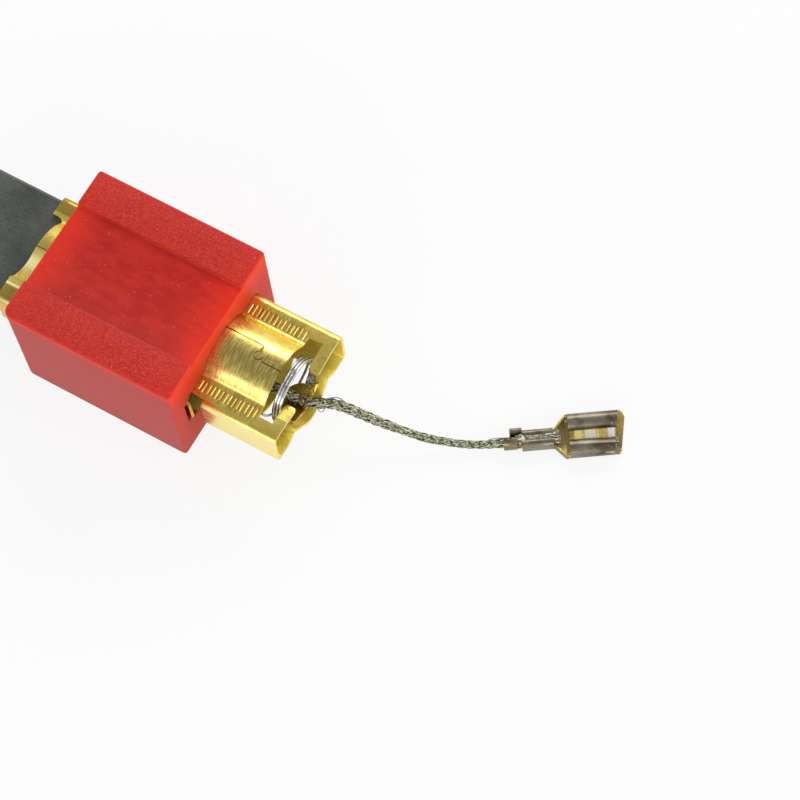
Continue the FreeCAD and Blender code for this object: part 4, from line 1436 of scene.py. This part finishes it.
def joint_line(finish, x, y, z):
    """The joint: along the bulge, across to the lobe, behind the lobe, and faint round it."""
    along = finish.span(abs(y - SEAM_Y), 0.05, 0.18, 1, 0) * finish.span(x, -2.6, -2.4)
    along = along * finish.span(x, LOBE_X - 0.3, LOBE_X - 0.1, 1, 0)
    across = finish.span(abs(x - LOBE_X + 0.08), 0.05, 0.18, 1, 0)
    across = across * finish.span(y, LOBE_R, LOBE_R + 0.15) * finish.span(y, SEAM_Y - 0.1, SEAM_Y + 0.1, 1, 0)
    behind = finish.span(abs(y - SEAM_END_Y), 0.05, 0.12, 0.6, 0) * finish.span(x, LOBE_X + 0.5, LOBE_X + 0.8)
    from_lobe = (x - LOBE_X) * (x - LOBE_X) + (y - LOBE_Y) * (y - LOBE_Y)
    ring = finish.span(abs(from_lobe - LOBE_R ** 2), 0.04, 0.16, 1, 0)
    line = (along + across + behind + ring * 0.4) * finish.span(z, 12.6, 13.0)
    return finish.span(line, 0, 1) * 0.7


print("joint drawn at y", SEAM_Y, "and", SEAM_END_Y, "mm, round a lobe at x", LOBE_X, "mm")

# %% [markdown]
# The brass itself is golden, with olive and brown films where it has tarnished, small dark dots, and fine
# rolling marks along its length. Its sheared edges are clean and paler, and its inner side is duller, with
# painted shade on its upper part, so the same recipe makes three finishes, and Solidify has already given
# each kind of face its own slot.

# %% Sheet brass and its cut edges
def sheet_brass(name, bright, dull, film, rough_low, rough_high, metal=1.0, shade=0.0):
    """Rolled brass with an uneven film, painted bands and the joint's line; shade, if given, paints shade on
    the upper inner side, in front of the ears.
    """
    finish = Finish(name)
    place = finish.place()
    rolled = finish.cloud(finish.place(stretch=(0.12, 1, 1)), 0.11, 3)
    crosswise = finish.cloud(finish.place(stretch=(1, 0.1, 0.1)), 0.16, 2)
    patches = finish.cloud(place, 2.6, 4, 0.6)
    x, y, z = finish.apart(place)
    fine = finish.cloud(place, 0.3, 3)
    uneven = finish.mix(finish.span(patches * 0.7 + fine * 0.3, 0.38, 0.62), bright, dull)
    filmed = finish.span(finish.cloud(place, 1.2, 3), 0.58, 0.72) * film
    dots = finish.span(finish.specks(place, 0.5), 0.05, 0.1, 1, 0) * finish.span(fine, 0.5, 0.6)
    crest, flats, glint = front_bands(finish, x, y)
    layers = [(filmed, paint(150, 124, 60)), (dots * 0.5, paint(96, 74, 34)),
              (crest, FRONT_DARK_REFLECTION), (flats, FRONT_DARK_REFLECTION), (glint, PALE_GLINT)]
    # The inner side gets painted shade on its upper part, in front of the ears.
    if shade:
        deep = finish.span(z, 6.0, 8.0) * finish.span(x, 22.0, 22.3, 1, 0)
        layers.append((deep * shade, paint(112, 84, 22)))
    layers += rear_bands(finish, x, y, z, crosswise)
    colour = finish.over(uneven, *layers, (joint_line(finish, x, y, z), DARK_JOINT))
    rough = finish.span(rolled * 0.5 + patches * 0.5, 0.35, 0.65, rough_low, rough_high)
    height = rolled * 0.25 + crosswise * 0.75
    # Under a painted highlight the metal is made matt, so that its pale colour shows as it is.
    return finish.surface(Base_Color=colour, Metallic=metal - glint * metal, Roughness=rough,
                          Normal=finish.bump(height, 0.018), Specular_Tint=(1.0, 0.88, 0.55, 1.0))


brass = sheet_brass("sheet_brass", paint(246, 224, 124), paint(222, 196, 96), 0.2, 0.2, 0.36)
brass_inside = sheet_brass("brass_inside", paint(250, 230, 112), paint(230, 206, 86), 0.1, 0.42, 0.58,
                           metal=0.5, shade=0.65)
brass_cut = sheet_brass("brass_cut_edge", paint(255, 242, 170), paint(246, 222, 130), 0.1, 0.2, 0.32)
give(tube, brass, brass_inside, brass_cut)
print("tube's finishes:", [material.name for material in tube.data.materials])

# %% [markdown]
# Pressed carbon is dark grey and matt, with a fine grain and tiny pits, and faint rubbed streaks along its
# length where it slides in the tube. Its long bevels get a painted highlight, a lighter grey band.

# %% Pressed carbon and the tamped plug
def pressed_carbon():
    """Matt carbon with grain, pits, rubbed streaks along its length, and a painted highlight on its bevels.
    """
    finish = Finish("pressed_carbon")
    place = finish.place()
    grain = finish.cloud(place, 0.12, 4, 0.7)
    rubbed = finish.cloud(finish.place(stretch=(0.08, 1, 1)), 0.35, 3)
    clouds = finish.cloud(place, 4.0, 3)
    pits = finish.span(finish.specks(place, 0.4), 0.07, 0.14, 1, 0)
    # A painted highlight: the long bevels are a lighter grey.
    bevel = finish.span(abs(finish.apart(place)[1]), 6.95, 7.2)
    uneven = finish.span(grain * 0.7 + clouds * 0.3, 0.38, 0.62)
    colour = finish.over(finish.mix(uneven, paint(56, 60, 56), paint(88, 92, 86)),
                         (finish.span(rubbed, 0.55, 0.75) * 0.12, paint(112, 114, 110)),
                         (bevel * 0.35, paint(116, 118, 114)), (pits * 0.6, paint(38, 38, 40)))
    rough = finish.span(rubbed, 0.45, 0.7, 0.72, 0.5)
    height = grain * 0.7 - pits * 0.3
    return finish.surface(Base_Color=colour, Roughness=rough, Normal=finish.bump(height, 0.02),
                          Specular_IOR_Level=0.35)


def tamped_copper():
    """Copper powder pressed hard: brown, grainy and half metallic."""
    finish = Finish("tamped_copper")
    place = finish.place()
    grain = finish.cloud(place, 0.1, 4, 0.7)
    colour = finish.mix(finish.span(grain, 0.35, 0.65), paint(122, 74, 50), paint(176, 112, 78))
    rough = finish.span(grain, 0.3, 0.7, 0.45, 0.7)
    return finish.surface(Base_Color=colour, Metallic=0.7, Roughness=rough, Normal=finish.bump(grain, 0.03))


give(carbon, pressed_carbon())
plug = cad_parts["contact_plug"]
give(plug, tamped_copper())
print("finishes:", [slot.name for slot in plug.data.materials])

# %% [markdown]
# The spring is drawn steel wire, bright and hard, with faint drawing lines. The braid is tinned: grey with
# an olive cast, glinting, and coppery where the tin has worn or burnt off by the weld.

# %% Spring steel, tinned wire and the weld
def spring_steel():
    """Bright drawn wire."""
    finish = Finish("spring_steel")
    place = finish.place()
    clouds = finish.cloud(place, 0.9, 3)
    lines = finish.cloud(finish.place(stretch=(4, 0.6, 0.6)), 0.2, 2)
    colour = finish.mix(finish.span(clouds, 0.35, 0.65), paint(166, 168, 172), paint(220, 220, 218))
    rough = finish.span(lines, 0.35, 0.65, 0.16, 0.3)
    return finish.surface(Base_Color=colour, Metallic=1.0, Roughness=rough, Normal=finish.bump(lines, 0.004))


def tinned_wire(name, grey, olive, copper_share):
    """Tinned copper wire; copper shows through where the share is high."""
    finish = Finish(name)
    place = finish.place()
    fine = finish.cloud(place, 0.25, 3)
    patches = finish.cloud(place, 1.4, 3)
    colour = finish.mix(finish.span(fine, 0.35, 0.65), olive, grey)
    near_weld = finish.place(origin=WELD_MIDDLE)
    distance = finish.node("ShaderNodeVectorMath", {"operation": "LENGTH"}, {0: near_weld}, give="Value")
    bare = finish.span(distance, 1.0, 2.6, copper_share, 0.0) + finish.span(patches, 0.62, 0.74) * 0.2
    colour = finish.mix(finish.span(bare, 0, 1), colour, paint(146, 112, 80))
    rough = finish.span(fine, 0.3, 0.7, 0.28, 0.42)
    return finish.surface(Base_Color=colour, Metallic=1.0, Roughness=rough, Normal=finish.bump(fine, 0.005))


give(spring, spring_steel())
braid = tinned_wire("tinned_braid", paint(188, 188, 162), paint(90, 92, 68), 0.15)
give(lead, braid)
give(loose_wires, braid)
give(wires, tinned_wire("cut_wire_ends", paint(232, 230, 214), paint(160, 156, 134), 0.1))
give(weld, tinned_wire("welded_wire", paint(138, 120, 92), paint(80, 68, 48), 0.25))
print("wire finishes:", [piece.data.materials[0].name for piece in (spring, lead, wires, weld)])

# %% [markdown]
# The receptacle is brass that has gone grey-brown outside, and on its wings the brass shows through. Its
# inner side kept its yellow colour; the flats of its tongue get painted highlights, nearly white, and its
# neck and mouth get painted shade. Its patterns are turned with it, so that the rubbed streaks run along the
# strip.

# %% Receptacle brass: outside, inside and cut edges
# Painted highlights on the tongue's flats: from and to a place along the strip in mm, and a colour.
PAINTED_HIGHLIGHT_FLATS = ((8.7, 9.6, paint(250, 236, 160)), (9.9, 11.3, paint(255, 252, 220)),
                (12.7, 13.6, paint(255, 255, 252)))
WING_END, FAR_WING_END = 1.7, 2.3


def tarnished_brass():
    """Grey-brown film over brass, rubbed through here and there; the far wing is made less metallic, so that
    it shows its own colour more than the dark that it mirrors.
    """
    finish = Finish("terminal_brass")
    place = finish.place(turn=TERMINAL_HEADING, origin=TERMINAL_PLACE)
    streaked = finish.place(turn=TERMINAL_HEADING, origin=TERMINAL_PLACE, stretch=(0.2, 1, 1))
    x, y = finish.apart(place)[:2]
    film = finish.cloud(place, 3.2, 3, 0.5)
    fine = finish.cloud(place, 0.18, 3)
    rubbed = finish.cloud(streaked, 0.3, 3)
    uneven = finish.span(film * 0.8 + fine * 0.2, 0.38, 0.62)
    wing = finish.span(x, WING_END - 0.05, WING_END + 0.05, 0.4, 0)
    colour = finish.over(finish.mix(uneven, paint(98, 88, 74), paint(142, 134, 118)),
                         (finish.span(rubbed, 0.6, 0.74) * 0.45, paint(206, 190, 136)),
                         (wing * finish.span(rubbed, 0.4, 0.6), paint(166, 138, 88)))
    rough = finish.span(fine * 0.5 + film * 0.5, 0.35, 0.65, 0.28, 0.42)
    far_wing = finish.span(x, FAR_WING_END - 0.05, FAR_WING_END + 0.05, 1, 0) * finish.span(y, 0.7, 0.85)
    return finish.surface(Base_Color=colour, Metallic=1 - far_wing * 0.7, Roughness=rough,
                          Normal=finish.bump(rubbed, 0.006))


def clean_brass():
    """The inner side: painted highlights on the raised tongue's flats, painted shade in the neck, and deeper
    painted shade in the mouth.
    """
    finish = Finish("terminal_inside")
    place = finish.place(turn=TERMINAL_HEADING, origin=TERMINAL_PLACE)
    x, y, z = finish.apart(place)
    fine = finish.cloud(place, 0.25, 3)
    colour = finish.mix(finish.span(fine, 0.35, 0.65), paint(230, 202, 112), paint(246, 224, 138))
    steps = 0.0
    for low, high, shade in PAINTED_HIGHLIGHT_FLATS:
        step = finish.span(x, low, low + 0.1) * finish.span(x, high - 0.1, high, 1, 0)
        step = step * finish.span(z, 0.5, 0.6) * finish.span(abs(y), 0.85, 1.0, 1, 0)
        colour = finish.mix(step, colour, shade)
        steps = steps + step
    # Painted shade in the neck, and in the mouth a deeper painted shade, darkest on its near side.
    neck = finish.span(x + fine * 0.4, 8.1, 8.6, 0.8, 0)
    dull = finish.mix(finish.span(y, -2.0, 2.0), paint(84, 80, 62), paint(156, 140, 72))
    mouth = finish.span(x - y * 0.18, 13.5, 13.8, 0, 0.85)
    colour = finish.over(colour, (neck, paint(122, 104, 62)), (mouth, dull))
    rough = finish.span(fine, 0.3, 0.7, 0.2, 0.36)
    return finish.surface(Base_Color=colour, Metallic=0.4 - steps * 0.4, Roughness=rough)


terminal_inside = clean_brass()
terminal_edge = sheet_brass("terminal_cut_edge", paint(236, 214, 140), paint(196, 172, 110), 0.3, 0.24, 0.4)
give(terminal, tarnished_brass(), terminal_inside, terminal_edge)
for piece in (tube, terminal):
    activate(piece)
    bpy.ops.object.material_slot_remove_unused()
print("receptacle finishes:", [material.name for material in terminal.data.materials])

# %% [markdown]
# The floor is plain and pale. Seen by the camera and by shiny metal it is nearly white, but it still takes
# the object's soft shadow, because only a share of it glows.

# %% Floor
FLOOR_GLOW = 0.85
FLOOR_GAP = 0.02 * MM


def pale_floor():
    """A white floor that keeps a soft shadow."""
    finish = Finish("pale_floor")
    tree = finish.tree
    finish.surface(Base_Color=(0.86, 0.85, 0.84, 1), Roughness=0.9, Specular_IOR_Level=0.1)
    seen = finish.node("ShaderNodeLightPath", give="Is Camera Ray")
    mirrored = finish.node("ShaderNodeLightPath", give="Is Glossy Ray")
    through = finish.node("ShaderNodeLightPath", give="Is Transmission Ray")
    glow = finish.node("ShaderNodeEmission", None, {"Color": (1, 1, 1, 1), "Strength": 1.0})
    share = (seen + mirrored + through) * FLOOR_GLOW
    surface = Amount(finish, finish.shader.outputs[0])
    whole = finish.node("ShaderNodeMixShader", None, {0: share, 1: surface, 2: glow})
    output = next(node for node in tree.nodes if node.type == "OUTPUT_MATERIAL")
    tree.links.new(whole.socket, output.inputs["Surface"])
    return finish.material


bpy.ops.object.select_all(action="DESELECT")
bpy.ops.mesh.primitive_plane_add(size=4, location=(0, 0, 0))
floor = bpy.context.object
floor.name = "floor"
push(floor, lambda place: place + Vector((0, 0, solid_bounds[0][2] - FLOOR_GAP)))
give(floor, pale_floor())
print("floor:", floor.data.materials[0].name)

# %% [markdown]
# Two long soft lamps, one beyond the brush and one on the near side, draw the bright bands along the
# tube's bulge, and a smaller one lights its open end. A lamp's light falls off softly when the lamp is
# large and close, which suits a small object better than a sun does.

# %% Lamps
def softbox(name, place, target, width, height, power):
    """A large soft lamp, aimed at a point."""
    place, target = Vector(place), Vector(target)
    turn = (target - place).to_track_quat("-Z", "Y").to_euler()
    bpy.ops.object.light_add(type="AREA", location=place, rotation=turn)
    lamp = bpy.context.object
    lamp.name = name
    lamp.data.shape = "RECTANGLE"
    lamp.data.size = width
    lamp.data.size_y = height
    lamp.data.energy = power


AIM = (0.015, 0.0, 0.008)
softbox("far_lamp", (-0.05, 0.52, 0.36), AIM, 0.6, 0.22, 1.8)
softbox("near_lamp", (0.05, -0.5, 0.22), AIM, 0.5, 0.2, 1.1)
softbox("side_lamp", (0.5, 0.1, 0.3), AIM, 0.3, 0.25, 0.7)

# %% [markdown]
# The surroundings are a plain sky that is bright near the horizon and darker overhead, so faces that look
# straight up keep the brass's deeper colour. The camera itself sees plain white there.

# %% Surroundings
HORIZON_LIGHT, OVERHEAD_LIGHT = 0.95, 0.42
HORIZON, OVERHEAD = 0.1, 0.95

world = bpy.data.worlds.new("studio")
bpy.context.scene.world = world
world.use_nodes = True
tree = world.node_tree
background = next(node for node in tree.nodes if node.type == "BACKGROUND")
direction = tree.nodes.new("ShaderNodeTexCoord")
parts = tree.nodes.new("ShaderNodeSeparateXYZ")
tree.links.new(direction.outputs["Generated"], parts.inputs[0])
shade = tree.nodes.new("ShaderNodeMapRange")
for socket, value in (("From Min", HORIZON), ("From Max", OVERHEAD),
                      ("To Min", HORIZON_LIGHT), ("To Max", OVERHEAD_LIGHT)):
    shade.inputs[socket].default_value = value
tree.links.new(parts.outputs["Z"], shade.inputs["Value"])
rays = tree.nodes.new("ShaderNodeLightPath")
choose = tree.nodes.new("ShaderNodeMix")
choose.inputs[3].default_value = 1.0
tree.links.new(rays.outputs["Is Camera Ray"], choose.inputs[0])
tree.links.new(shade.outputs["Result"], choose.inputs[2])
tree.links.new(choose.outputs[0], background.inputs["Strength"])
background.inputs["Color"].default_value = (1, 1, 1, 1)
bpy.context.scene.view_settings.view_transform = "Standard"
print("sky:", world.name, "from", HORIZON_LIGHT, "down to", OVERHEAD_LIGHT)

# %% [markdown]
# Last, the box of the solids is printed.

# %% Finish: note the sizes and close
print("solids", solid_bounds)
